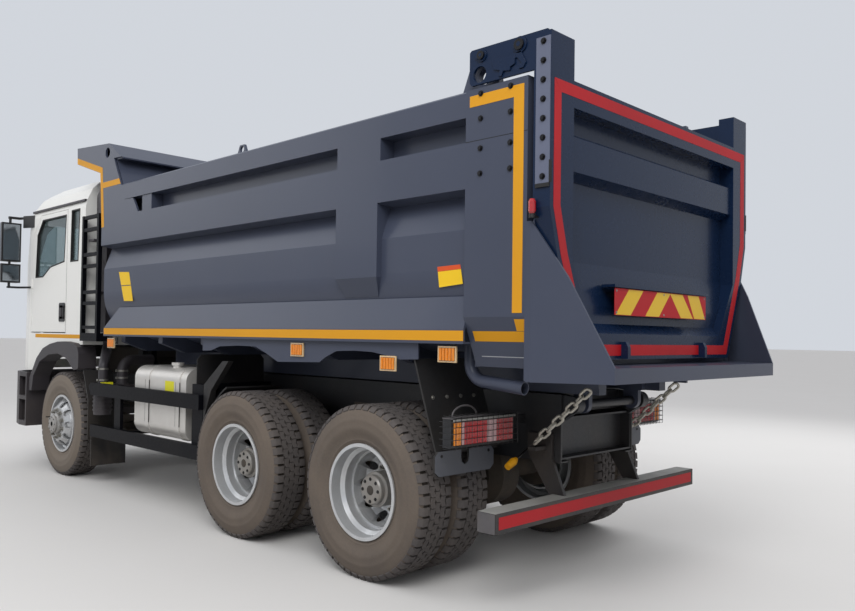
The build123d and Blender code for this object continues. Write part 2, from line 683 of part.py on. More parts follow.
# Chute: floor and inward leaning wings behind the tailgate
wing_front_x = -1262
wing_lean = (1217 - chute_y) / (wing_front_x - chute_x)
wing = prism([(body_rear_x, 2120), (wing_front_x, 2120), (-1432, 1830), (chute_x, chute_top_z),
              (chute_x, chute_top_z - chute_h), (body_rear_x, chute_top_z - chute_h)], "y", 900, 1300)
wing_slab = prism([(body_rear_x, 1217 + wing_lean * (body_rear_x - wing_front_x)), (chute_x, chute_y),
                   (chute_x, chute_y - 13), (body_rear_x, 1204 + wing_lean * (body_rear_x - wing_front_x))],
                  "z", 1200, 2200)
wings = both_sides(wing & wing_slab & box(chute_x, body_rear_x, 900, gate_y, 1200, 2200))
chute_floor = prism([(body_rear_x, -1160), (body_rear_x, 1160), (chute_x, chute_y - 2),
                     (chute_x, 2 - chute_y)], "z", chute_top_z - chute_h, chute_top_z)
chain_ear = box(body_rear_x - 40, body_rear_x - 5, chain_y - 12, chain_y + 12,
                chain_high_z + 14, chute_top_z - chute_h + 4)
chain_ear += box(body_rear_x - 20, chain_high_x + 20, chain_y - 12, chain_y + 12,
                 chain_high_z + 14, chain_high_z + 40)
save("body_floor", trough + wings + chute_floor + both_sides(chain_ear))


# Sides: top rail, belt, posts and sheet
def on_skin(x0, x1, outer, low, high):
    """Block that stands on the side's skin, out to the given place along Y."""
    points = [(outer, low), (outer, high), (upper_y - 1, high)]
    if low < waist_low_z:
        points += [(upper_y - 1, waist_high_z), (hull_y - 1, waist_low_z), (hull_y - 1, low)]
    else:
        points.append((upper_y - 1, low))
    return prism(points, "x", x0, x1)


def side_parts():
    rail = prism([(upper_y, rail_low_z), (side_y, rail_low_z), (side_y, rail_high_z - 12),
                  (side_y - 14, rail_high_z), (upper_y, rail_high_z)], "x", body_rear_x, front_wall_x)
    belt = prism([(upper_y + 2, band_low_z - 20), (side_y, band_low_z), (side_y, band_high_z),
                  (upper_y - 2, band_high_z + 14)], "x", body_rear_x, front_wall_x)
    post = on_skin(body_rear_x, post_front_x, side_y, 1635, rail_high_z)
    post_fold = prism([(hull_y - 40, 1640), (side_y, 1640), (side_y, 1625), (upper_y, 1350),
                       (upper_y - 40, 1350)], "x", body_rear_x, post_front_x)
    middle_low = prism([(-85, 1880), (-85, band_low_z), (310, band_low_z), (310, 1880), (270, 1760),
                        (-45, 1760)], "y", 1040, side_y)
    middle_low &= prism([(upper_y - 10, 1762), (1146, 1762), (side_y, 1880), (side_y, band_low_z),
                         (upper_y - 10, band_low_z)], "x", -200, 400)
    middle_low -= hull_outer
    middle_high = on_skin(-105, 305, side_y, band_high_z, rail_low_z)
    front_high = on_skin(2830, 3000, side_y - 10, band_high_z, rail_low_z)
    return [rail, belt, post, post_fold, middle_low, middle_high, front_high]


arm_hole_x = -905
arm_hole_z = arm_low_z + 55
arm_hole_r = 45
pin_bracket = prism([(gate_pin_x - 110, rail_high_z - 5), (gate_pin_x - 62, gate_pin_z + 58),
                     (gate_pin_x + 62, gate_pin_z + 58), (gate_pin_x + 160, rail_high_z - 5)],
                    "y", 1130, 1170)
pin_bracket -= rod("y", gate_pin_r + 1, 1100, 1200, gate_pin_x, gate_pin_z)
pin_bracket -= rod("y", arm_hole_r, 1100, 1200, arm_hole_x, arm_hole_z)
guard_outline = [(4393, 3372), (4384, 3210), (3853, 3051), (3800, 2507), (2994, 2499), (3170, 2737),
                 (3329, 2740), (3570, 3157), (3425, 3151), (3680, 3314)]
guard_inner_y = 1180
guard_bed = prism(guard_outline, "y", guard_inner_y, 1300)
sides = side_sheets + both_sides(union(side_parts()) + pin_bracket - guard_bed)
save("body_sides", sides - trough)

# Front wall, with the ribs that stiffen it and the hoist's upper bracket
front_wall = Pos(body_length, 0, 0) * extrude(hull_profile(0), amount=plate_t, dir=(1, 0, 0))
front_wall += box(front_wall_x, front_wall_x + plate_t, -upper_y, upper_y, rail_high_z - 1, 3050)
wall_ribs = [box(front_wall_x + plate_t, front_wall_x + plate_t + 60, y - 35, y + 35, 1450, 3050)
             for y in (-850, -420, 420, 850)]
ears = [prism([(front_wall_x + plate_t, hoist_eye_z - 60), (front_wall_x + plate_t, hoist_eye_z + 340),
               (hoist_eye_x + 60, hoist_eye_z + 70), (hoist_eye_x + 60, hoist_eye_z - 60)],
              "y", s * 75 - 10, s * 75 + 10) for s in (-1, 1)]
ear_holes = rod("y", 31, -100, 100, hoist_eye_x, hoist_eye_z)
ear_plate = box(front_wall_x + plate_t, front_wall_x + plate_t + 20, -160, 160,
                hoist_eye_z - 100, hoist_eye_z + 400)
save("body_front_wall", union([front_wall, ear_plate] + wall_ribs + ears) - ear_holes)

# Cab guard: side plates, sloping roof sheet and front lip
guard_side = prism(guard_outline, "y", guard_inner_y, 1200)
guard_side -= rod("y", 48, 1170, 1210, 3703, 3229)
guard_lip = box(4370, 4393, -1180, 1180, 3212, 3350)
guard_roof = prism([(3860, 3052), (4384, 3210), (4384, 3222), (3856, 3064)], "y", -1180, 1180)
guard_back = prism([(3802, 3060), (3860, 3052), (3856, 3066), (3802, 3074)], "y", -1180, 1180)
guard_top = prism([(3425, 3151), (3680, 3314), (3684, 3304), (3434, 3144)], "y", -1180, 1180)
guard_rear = prism([(3415, rail_high_z + 2), (3562, 3157), (3425, 3151), (3427, 3139), (3543, 3142),
                    (3403, rail_high_z + 2)], "y", -guard_inner_y, guard_inner_y)
guard_ribs = [prism([(3900, 3076), (4370, 3218), (4370, 3300), (3900, 3130)], "y", y - 8, y + 8)
              for y in (-600, 0, 600)]
guard_deck = prism([(3680, 3314), (4380, 3362), (4380, 3350), (3684, 3302)], "y", -1180, 1180)
guard_sheets = [guard_lip, guard_roof, guard_back, guard_top, guard_rear, guard_deck]
save("cab_guard", both_sides(guard_side) + union(guard_sheets + guard_ribs))

# Floor frame: long beams, cross members shaped to the hull, sills and the exhaust outlet
long_beam = box(-1180, front_wall_x - 40, beam_y, beam_y + beam_w, beam_bottom_z, hull_bottom_z)
hinge_ear = prism([(tip_x - 54, tip_z), (tip_x - 54, beam_bottom_z + 60), (tip_x + 54, beam_bottom_z + 60),
                   (tip_x + 54, tip_z)], "y", beam_y - 50, beam_y - 12)
hinge_ear += rod("y", 54, beam_y - 50, beam_y - 12, tip_x, tip_z)
hinge_ear += box(tip_x - 80, tip_x + 80, beam_y - 50, beam_y + 5, beam_bottom_z, beam_bottom_z + 70)
hinge_ear -= rod("y", tip_pin_r + 1, beam_y - 60, beam_y + 10, tip_x, tip_z)
cross_xs = (-1000, -100, 650, 1350, 2050, 2750, 3450)
saddles = []
for x in cross_xs:
    saddle = prism([(-1124, 1422), (-900, 1340), (900, 1340), (1124, 1422), (1124, 1600), (-1124, 1600)],
                   "x", x - 35, x + 35)
    if x < post_front_x:
        saddle &= box(x - 40, x + 40, 50 - upper_y, upper_y - 50, 1300, 1700)
    saddles.append(saddle - hull_outer)
sill = prism([(side_y - 14, sill_low_z), (side_y, sill_low_z), (side_y, sill_crease_z),
              (sill_top_y + 12, sill_top_z), (sill_top_y - 8, sill_top_z), (side_y - 14, sill_crease_z - 6)],
             "x", post_front_x, 3700)
sill_end = prism([(3480, sill_top_z + 10), (3700, sill_crease_z - 10), (3800, sill_crease_z - 10),
                  (3800, 1900), (3480, 1900)], "y", 1000, 1300)
skirt_flange = box(post_front_x, 3700, 1120, side_y, sill_low_z, sill_low_z + 12)
sill_piece = (sill - sill_end) + skirt_flange
skirt = prism([(-421, sill_low_z + 4), (-421, 1378), (-269, 1373), (-172, 1391), (-21, 1413), (149, 1417),
               (328, 1410), (441, 1364), (498, 1331), (967, 1319), (1104, 1375), (1245, 1423), (1482, 1425),
               (1732, 1414), (1852, 1379), (1975, 1376), (1975, sill_low_z + 4)], "y", 1162, 1172)
sill_piece += skirt
outlet_path = [(-684, 1000, 1490), (-684, 1000, 1270), (-1074, 1000, 1236)]
outlet = tube_path(outlet_path, 38, 110) - tube_path(
    [(-684, 1000, 1491), (-684, 1000, 1270), (-1075, 1000, 1236)], 33, 110)
outlet_arm = box(-760, -684 - 20, 985, 1015, 1380, 1420) + box(-790, -750, 960, 1040, 1345, 1640)
outlet_arm -= hull_outer
frame_parts = both_sides(long_beam + hinge_ear + sill_piece) - hull_outer
save("floor_frame", union([frame_parts] + saddles + [outlet, outlet_arm]))

# Lifting eyes on the top rails
eye_x = 1540
eye_hole_r = 26
eye = prism([(eye_x - 70, rail_high_z), (eye_x - 30, rail_high_z + 84), (eye_x + 30, rail_high_z + 84),
             (eye_x + 70, rail_high_z)], "y", 1105, 1125)
eye -= rod("y", eye_hole_r, 1100, 1130, eye_x, rail_high_z + 48)
save("lifting_eyes", both_sides(eye))

# Tailgate: panel with a belt and creased lower half, corner posts, and arms to the hinge pins
gate_half = gate_y - gate_post_w
panel_x = gate_front_x - 4
panel = prism([(panel_x, gate_bottom_z), (panel_x, gate_top_z), (panel_x - 12, gate_top_z),
               (panel_x - 12, 1930), (panel_x - 50, 1700), (panel_x - 50, 1590),
               (panel_x - 12, gate_bottom_z)], "y", -1130, 1130)
panel &= prism([(1120, 3000), (1120, 1918), (905, gate_bottom_z), (-905, gate_bottom_z), (-1120, 1918),
                (-1120, 3000)], "x", gate_rear_x, gate_front_x)
gate_belt = prism([(panel_x - 10, 2360), (gate_rear_x + 20, 2400), (gate_rear_x + 20, 2585),
                   (panel_x - 10, 2625)], "y", -gate_half, gate_half)
gate_head = box(gate_rear_x, gate_front_x, -gate_half, gate_half, 2730, gate_top_z)
gate_foot = prism([(gate_front_x, gate_bottom_z), (gate_front_x, 1560), (panel_x - 46, 1604),
                   (gate_rear_x, 1545), (gate_rear_x, gate_bottom_z)], "y", -905, 905)
gate_post = prism([(gate_half, 1907), (gate_half, gate_post_top_z), (gate_y, gate_post_top_z), (gate_y, 2185),
                   (1140, 1918), (925, gate_bottom_z), (700, gate_bottom_z), (800, 1577)],
                  "x", gate_rear_x, gate_front_x)
gusset = prism([(gate_half + 4, 1900), (800, 1570), (730, 1570), (940, 1800)],
               "x", gate_rear_x + 52, gate_front_x)
gate_arm = prism([(gate_rear_x + 24, arm_low_z), (gate_rear_x + 24, gate_pin_z + 33),
                  (-846, gate_pin_z + 37), (-833, gate_pin_z + 25), (-833, arm_low_z + 20),
                  (-848, arm_low_z)], "y", side_y - 5, side_y + 12)
gate_arm -= rod("y", arm_hole_r, 1190, 1230, arm_hole_x, arm_hole_z)
gate_pin = rod("y", gate_pin_r, 1120, side_y + 24, gate_pin_x, gate_pin_z)
plate_ledge = box(gate_rear_x - 26, gate_rear_x + 60, -560, 620, 1806, 1822)
hooks = []
for y in (-490, 490):
    hooks.append(prism([(gate_rear_x, 1500), (gate_rear_x - 30, 1500), (gate_rear_x - 44, 1470),
                        (gate_rear_x - 44, 1405), (gate_rear_x, 1405)], "y", y - 16, y + 16))
gate_sides = both_sides(union([gate_post, gusset, gate_arm, gate_pin]))
gate = union([panel, gate_belt, gate_head, gate_foot, gate_sides, plate_ledge])
save("tailgate", union([gate] + hooks))

# Cab: a skin between an outer and an inner body, split at the panel joints
side_outline = [
    (cab_rear_x, cab_low_z), (5060, cab_low_z), (5250, 1330), (5420, 1220), (5540, cab_front_low_z),
    (cab_nose_x - 12, cab_front_low_z), (cab_nose_x, 1300), (cab_nose_x - 8, 1790),
    (cab_nose_x - 62, cab_screen_base_z), (5835, 2700), (5760, cab_roof_split_z), (5590, 3030),
    (5240, cab_roof_z), (4560, cab_roof_z - 14), (4400, cab_roof_z - 60), (cab_rear_x, 2980),
]
inner_outline = [
    (cab_rear_x + cab_wall, cab_floor_z), (cab_nose_x - cab_wall - 14, cab_floor_z),
    (cab_nose_x - cab_wall - 16, 1780), (cab_nose_x - cab_wall - 60, cab_screen_base_z),
    (5786, 2690), (5715, 2830), (5562, 2986),
    (5232, cab_roof_z - cab_wall), (4580, cab_roof_z - cab_wall - 14), (cab_rear_x + cab_wall, 2960),
]


def cab_plan(shrink):
    """Cab seen from above: straight sides and a nose of three flats each side, rounded."""
    side = cab_y - shrink
    nose = cab_nose_x - shrink
    half = [(cab_rear_x - 10, side), (5800, side), (5990, side - 40), (6130, side - 170), (nose - 18, 560),
            (nose, 200)]
    return half + [(x, -y) for x, y in reversed(half)]


def roof_section(shrink):
    """Cab seen from the front: upright sides and a crowned roof with rounded shoulders."""
    side = cab_y - shrink
    top = cab_roof_z - shrink
    half = [(side, 1000), (side, 2790), (side - 14, cab_roof_split_z), (side - 70, 2985),
            (side - 190, top - 30), (500, top)]
    return half + [(-y, z) for y, z in reversed(half)]


cab_outer = prism(side_outline, "y", -1300, 1300) & prism(cab_plan(0), "z", 900, 3400)
cab_outer &= prism(roof_section(0), "x", 4000, 6500)
cab_inner = prism(inner_outline, "y", -1300, 1300) & prism(cab_plan(cab_wall), "z", 900, 3400)
cab_inner &= prism(roof_section(cab_wall), "x", 4000, 6500)
nose_space = prism([(4900, 1000), (4900, 1370), (cab_nose_x - 60, 1370),
                    (cab_nose_x - 60, 1000)], "y", -1300, 1300) & prism(cab_plan(cab_wall), "z", 900, 1400)
cab_skin = cab_outer - cab_inner - nose_space

door_outline = [(door_rear_x, door_low_z), (door_front_x, door_low_z), (door_front_x, 2100), (5694, 2600),
                (5500, door_high_z), (door_rear_x, door_high_z)]
door_hole_outline = [(door_rear_x - door_gap, door_low_z - door_gap),
                     (door_front_x + door_gap, door_low_z - door_gap), (door_front_x + door_gap, 2100),
                     (5700, 2603), (5503, door_high_z + door_gap),
                     (door_rear_x - door_gap, door_high_z + door_gap)]
door_glass_outline = [(5460, 2752), (5605, 2590), (5638, 2110), (5422, 2110), (5215, 2208), (4850, 2250),
                      (4815, 2752)]
quarter_outline = [(4690, 2785), (4480, 2785), (4500, 2240), (4700, 2240)]
screen_outline = [(-940, 1900), (940, 1900), (1000, 2040), (930, 2640), (860, 2740), (-860, 2740),
                  (-930, 2640), (-1000, 2040)]
grille_outline = [(-800, 1180), (800, 1180), (860, 1240), (860, 1640), (800, 1720), (-800, 1720),
                  (-860, 1640), (-860, 1240)]

door_zone = prism(door_outline, "y", cab_y - cab_wall - 5, 1300)
door_hole = prism(door_hole_outline, "y", cab_y - 200, 1300)
glass_hole = prism(door_glass_outline, "y", cab_y - 200, 1300)
quarter_hole = prism(quarter_outline, "y", cab_y - 200, 1300)
screen_hole = prism(screen_outline, "x", 5650, 6500)
grille_hole = prism(grille_outline, "x", 6090, 6500)

door_panel = (cab_outer - cab_inner) & door_zone
door_panel -= glass_hole
door_handle = box(4812, 4950, cab_y - 1, cab_y + 6, 1626, 1806)
door_grip = box(4836, 4872, cab_y, cab_y + 34, 1646, 1786)
door_handle += door_grip - box(4830, 4880, cab_y + 6, cab_y + 20, 1668, 1764)
hinge_x = door_front_x + door_gap / 2
for z in hinge_low_zs:
    door_panel -= rod("z", hinge_r + 2, z - 22, z, hinge_x, cab_y)
    door_panel -= rod("z", hinge_r + 2, z + hinge_h, z + hinge_h + 22, hinge_x, cab_y)
    door_panel += rod("z", hinge_r, z + 0.5, z + hinge_h - 0.5, hinge_x, cab_y)
    door_panel += box(hinge_x - 16, hinge_x, cab_y - 9, cab_y + 5, z + 0.5, z + hinge_h - 0.5)
    door_panel -= rod("z", hinge_pin_r + hinge_gap, z - 1, z + hinge_h + 1, hinge_x, cab_y)
left_door = door_panel + door_handle
door_pane = prism(door_glass_outline, "y", cab_y - 26, cab_y - 26 + glass_t)
save("left_door", left_door)
save("right_door", right_of(left_door))
save("left_door_glass", door_pane)
save("right_door_glass", right_of(door_pane))

shell = cab_skin - both_sides(door_hole + quarter_hole) - screen_hole - grille_hole
lugs = []
for z in hinge_low_zs:
    shell -= both_sides(rod("z", hinge_r + 2, z - 1, z + hinge_h + 1, hinge_x, cab_y))
    for low, high in ((z - 20, z - 0.5), (z + hinge_h + 0.5, z + hinge_h + 20)):
        lugs.append(rod("z", hinge_r, low, high, hinge_x, cab_y))
        lugs.append(box(hinge_x, pillar_x + 12, cab_y - 9, cab_y + 5, low, high))
    lugs.append(rod("z", hinge_pin_r, z - 10, z + hinge_h + 10, hinge_x, cab_y))
roof_zone = box(4300, 6000, -1300, 1300, cab_roof_split_z, 3300)
rear_zone = box(4300, cab_rear_x + cab_wall, -1300, 1300, 1300, cab_roof_split_z)
front_zone = box(pillar_x + 12, 6500, -1300, 1300, 900, cab_roof_split_z)
floor_zone = box(cab_rear_x + cab_wall, pillar_x + 12, -1300, 1300, 900, cab_floor_z)
save("cab_roof", shell & roof_zone)
save("cab_rear_wall", shell & rear_zone)
save("cab_floor", shell & floor_zone)
save("cab_sides", (shell - roof_zone - rear_zone - front_zone - floor_zone) + both_sides(union(lugs)))

quarter_pane = prism(quarter_outline, "y", cab_y - 26, cab_y - 26 + glass_t)
screen_outer = Pos(-16, 0, 0) * cab_outer
screen_inner = Pos(-16 - glass_t * 1.2, 0, 0) * cab_outer
windscreen = (screen_outer - screen_inner) & screen_hole & box(5700, 6400, -1200, 1200, 1800, 2760)
save("cab_glass", windscreen + both_sides(quarter_pane))

# Grille: bars set in the nose opening
bars = []
for z in (1215, 1310, 1405, 1500, 1595, 1680):
    bars.append(box(6040, cab_nose_x - 16, -900, 900, z, z + 42))
stiles = [box(6150, cab_nose_x - 30, y - 12, y + 12, 1182, 1718) for y in (-500, 0, 500)]
bar_skin = Pos(-16, 0, 0) * cab_outer - Pos(-44, 0, 0) * cab_outer
grille = (union(bars + stiles) & bar_skin) & grille_hole

tilt_ear = box(cab_pin_x - 48, cab_pin_x + 48, cab_ear_y, cab_ear_y + cab_ear_w, cab_pin_z + 20, cab_low_z)
tilt_ear += rod("y", 48, cab_ear_y, cab_ear_y + cab_ear_w, cab_pin_x, cab_pin_z)
tilt_ear -= rod("y", cab_pin_r + running_gap, cab_ear_y - 1, cab_ear_y + cab_ear_w + 1, cab_pin_x, cab_pin_z)
save("cab_front", (shell & front_zone) + grille + both_sides(tilt_ear))

# Cab interior seen through the glass: dash with wheel and column, and the seats
dash = prism([(5780, 1700), (5780, 2010), (5850, 2050), (6080, 1900), (6100, 1700)], "y", -1030, 1030)
dash &= cab_inner
column = strut((5800, 560, 1850), (5553, 560, 2035.7), 34)
wheel_plane = Plane(origin=(5550, 560, 2038), z_dir=(-0.8, 0, 0.6))
steering_ring = wheel_plane * Torus(215, 17)
spoke_a = wheel_plane * Box(44, 410, 14)
spoke_b = wheel_plane * Box(410, 44, 14)
save("dashboard", union([dash, column, steering_ring, spoke_a, spoke_b]))


def seat(y):
    base = box(4880, 5220, y - 170, y + 170, cab_floor_z, 1720)
    cushion = prism([(4820, 1720), (4820, 1850), (5300, 1880), (5320, 1830), (5300, 1720)],
                    "y", y - 245, y + 245)
    back = prism([(4820, 1850), (4960, 1850), (4880, 2480), (4780, 2480)], "y", y - 235, y + 235)
    head = prism([(4785, 2480), (4875, 2480), (4860, 2670), (4775, 2670)], "y", y - 130, y + 130)
    return union([base, cushion, back, head])


save("seats", seat(560) + seat(-560))


# Wheel arches on the cab: a band round the wheel and the foot ahead of it
def wheel_arch():
    outline = [(4330, 1140), (4330, 1290), (4362, 1356), (4440, 1394), (4640, 1410), (4860, 1404),
               (5060, 1376), (5250, 1326), (5420, 1216), (5540, 1070), (5615, 990), (5615, 850),
               (5545, 850), (5500, 1020), (5330, 1180), (5090, 1262), (4850, 1280), (4640, 1240),
               (4500, 1160), (4440, 1120)]
    return prism(outline, "y", 985, 1172) - cab_outer


save("wheel_arches", both_sides(wheel_arch()))


# Mirrors: arm from the pillar, tall housing and a smaller one below
def mirror_set():
    arm_high = prism([(5700, cab_y), (5750, cab_y), (5960, 1190), (5960, 1320), (5925, 1320), (5925, 1206)],
                     "z", 2790, 2816)
    bracket = prism([(5700, cab_y), (5764, cab_y), (5880, 1174), (5862, 1188)], "z", 2690, 2826)
    arm_low = prism([(5770, cab_y), (5800, cab_y), (5960, 1190), (5960, 1320), (5925, 1320), (5925, 1206)],
                    "z", 1998, 2020)
    tall = prism([(5890, 1196), (5890, 1408), (5985, 1396), (5990, 1210)], "z", 2300, 2740)
    wide = prism([(5890, 1196), (5890, 1408), (5985, 1396), (5990, 1210)], "z", 2060, 2272)
    stem = rod("z", 14, 1998, 2816, 5942, 1302)
    return union([arm_high, bracket, arm_low, tall, wide, stem])


save("mirrors", both_sides(mirror_set()))


# Bumper: a wall round the nose with lamp openings, and step boxes behind the corners
def bumper_plan(inset):
    side = bumper_y - inset
    nose = front_end - inset
    half = [(bumper_rear_x, side), (5840, side), (6050, side - 48), (6200, side - 185), (nose - 18, 580),
            (nose, 200)]
    return half + [(x, -y) for x, y in reversed(half)]


bumper_band = prism(bumper_plan(0), "z", bumper_low_z, bumper_top_z)
bumper_band -= prism(bumper_plan(bumper_wall), "z", bumper_low_z - 10, bumper_top_z + 10)
bumper_band -= box(5500, bumper_rear_x + 40, -1140, 1140, 400, 1100)
lamp_hole = prism([(590, 770), (640, 950), (1100, 950), (1100, 800), (1040, 740)], "x", 5960, 6400)
lamp_hole &= box(5960, 6400, 590, 1160, 700, 1000)
fog_hole = prism([(720, 560), (720, 650), (960, 650), (990, 600), (960, 560)], "x", 5960, 6400)
air_slot = prism([(-480, 560), (-520, 720), (520, 720), (480, 560)], "x", 6100, 6400)
bumper_band = bumper_band - both_sides(lamp_hole + fog_hole) - air_slot
bumper_stays = both_sides(box(5900, front_end - bumper_wall + 4, 360, rail_outer_y, 690, rail_top_z - rail_h))
step_box = box(bumper_rear_x, 5900, 905, bumper_y - bumper_wall + 6, bumper_low_z, bumper_top_z - 10)
step_box -= box(5660, 5880, 960, bumper_y + 20, 505, 740)
step_box -= box(5660, 5880, 960, bumper_y + 20, 785, 1000)
step_hole = box(5668, 5872, bumper_y - 60, bumper_y + 20, 505, 740)
step_hole += box(5668, 5872, bumper_y - 60, bumper_y + 20, 785, 1000)
step_stay = box(5720, 5780, rail_outer_y, 910, 800, 860)
bumper_sides = both_sides(step_box + step_stay)
save("bumper", bumper_band + bumper_stays + bumper_sides - both_sides(step_hole))

# Headlamps: solid lenses that fill the openings, set back from the skin
lens_band = prism(bumper_plan(8), "z", bumper_low_z, bumper_top_z) - prism(bumper_plan(34), "z", 400, 1100)
save("headlamps", both_sides((lamp_hole + fog_hole) & lens_band))

# Hoist: trunnion barrel and four nested stages on a leaning line
hoist_lean = atan2(hoist_eye_x - hoist_x, hoist_eye_z - hoist_z)
hoist_length = hypot(hoist_eye_x - hoist_x, hoist_eye_z - hoist_z)


def on_hoist(solid):
    """Moves a piece drawn upright on the trunnion to the hoist's line."""
    return Pos(hoist_x, 0, hoist_z) * Rot(0, degrees(hoist_lean), 0) * solid


# radius, lowest and highest place along the hoist, in step order; each stage slides in the one before
barrel_bore = rod("z", hoist_radii[1] + hoist_gap, -100, hoist_barrel_top + 10, 0, 0)
barrel = rod("z", hoist_radii[0], -130, hoist_barrel_top - 6, 0, 0) - barrel_bore
trunnions = rod("y", 36, -190, 190, 0, 0) - barrel_bore
collar = rod("z", hoist_radii[0] + 12, hoist_barrel_top - 56, hoist_barrel_top, 0, 0) - barrel_bore
barrel_ring = rod("z", hoist_radii[0] + 12, -60, 60, 0, 0) - barrel_bore
save("hoist_barrel", on_hoist(union([barrel, trunnions, collar, barrel_ring])))
for stage in range(1, len(hoist_radii)):
    low = -96 + 12 * stage
    high = hoist_barrel_top + 20 * stage
    tube = rod("z", hoist_radii[stage], low, high, 0, 0)
    if stage < len(hoist_radii) - 1:
        tube -= rod("z", hoist_radii[stage + 1] + hoist_gap, low + 8, high + 10, 0, 0)
    else:
        tube += rod("y", 58, -60, 60, 0, hoist_length)
        tube += rod("z", 40, high - 10, hoist_length, 0, 0)
        tube -= rod("y", 30, -80, 80, 0, hoist_length)
    save(f"hoist_stage_{stage}", on_hoist(tube))

# Hoist cradle on the frame: two cheeks with the trunnion bearings, on a cross tube
cheek = prism([(hoist_x - 150, rail_top_z), (hoist_x - 60, hoist_z + 60), (hoist_x + 60, hoist_z + 60),
               (hoist_x + 150, rail_top_z), (hoist_x + 150, 900), (hoist_x - 150, 900)], "y", 150, 180)
cheek -= rod("y", 37, 100, 200, hoist_x, hoist_z)
cradle_foot = box(hoist_x - 150, hoist_x + 150, 170, rail_outer_y - rail_t, 905, 940)
members.append(both_sides(cheek + cradle_foot))

# Cab mounts: tilt brackets ahead of the rails, and rests under the rear of the floor
tilt_bracket = prism([(5860, 760), (5860, 1036), (rail_front_x + 4, 1036), (cab_pin_x - 16, cab_pin_z + 33),
                      (cab_pin_x + 16, cab_pin_z + 33), (cab_pin_x + 36, cab_pin_z),
                      (cab_pin_x + 16, cab_pin_z - 33), (5990, 760)],
                     "y", cab_ear_y + cab_ear_w + 6, rail_outer_y - rail_t)
tilt_pin = rod("y", cab_pin_r, cab_ear_y - 8, cab_ear_y + cab_ear_w + 20, cab_pin_x, cab_pin_z)
cab_rest = box(4420, 4520, 360, rail_outer_y, rail_top_z, cab_low_z - 0.3)
members.append(both_sides(tilt_bracket + tilt_pin + cab_rest))
save("cross_members", union(members))
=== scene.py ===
from math import cos, pi, radians, sin

import bmesh
import bpy
from mathutils import Matrix, Vector


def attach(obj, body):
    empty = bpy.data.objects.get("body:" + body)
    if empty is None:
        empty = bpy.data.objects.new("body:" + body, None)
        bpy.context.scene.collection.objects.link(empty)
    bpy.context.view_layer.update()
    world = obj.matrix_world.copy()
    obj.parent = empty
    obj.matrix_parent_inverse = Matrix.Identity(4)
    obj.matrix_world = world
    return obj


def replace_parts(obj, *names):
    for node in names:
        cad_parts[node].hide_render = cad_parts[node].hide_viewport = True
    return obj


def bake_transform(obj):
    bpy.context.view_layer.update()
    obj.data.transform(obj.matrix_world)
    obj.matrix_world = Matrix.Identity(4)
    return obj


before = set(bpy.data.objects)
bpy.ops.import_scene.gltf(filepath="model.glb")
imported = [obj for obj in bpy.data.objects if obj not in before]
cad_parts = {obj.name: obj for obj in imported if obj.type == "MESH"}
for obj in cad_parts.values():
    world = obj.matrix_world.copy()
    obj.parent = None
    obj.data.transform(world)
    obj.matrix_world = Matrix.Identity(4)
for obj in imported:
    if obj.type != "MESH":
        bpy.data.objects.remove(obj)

# Three-axle tipping truck. Pieces are in metres, with X from the rearmost axle, and shifted by CENTRE_X.
CENTRE_X = 2.3285
AXLE_Z = 0.5425
FRONT_X, MIDDLE_X, REAR_X = 4.85, 1.4, 0.0
TYRE_R = 0.5425
SIDES = ((1, "left"), (-1, "right"))
# Axles: name, x, ending of its node names, middles of the left tyres, outer faces of disc and hub
AXLES = [("front", FRONT_X, "", (0.985,), 1.155, 1.2102),
         ("middle", MIDDLE_X, "s", (1.107, 0.767), 0.951, 1.15),
         ("rear", REAR_X, "s", (1.107, 0.767), 0.951, 1.15)]
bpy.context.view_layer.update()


# Materials
def srgb(r, g, b):
    """Colour written as 0 to 255 values, returned as linear values."""
    linear = []
    for value in (r, g, b):
        c = value / 255
        linear.append(c / 12.92 if c <= 0.04045 else ((c + 0.055) / 1.055) ** 2.4)
    return tuple(linear)


def scaled(colour, factor):
    """Colour made lighter or darker."""
    return tuple(min(c * factor, 1.0) for c in colour)


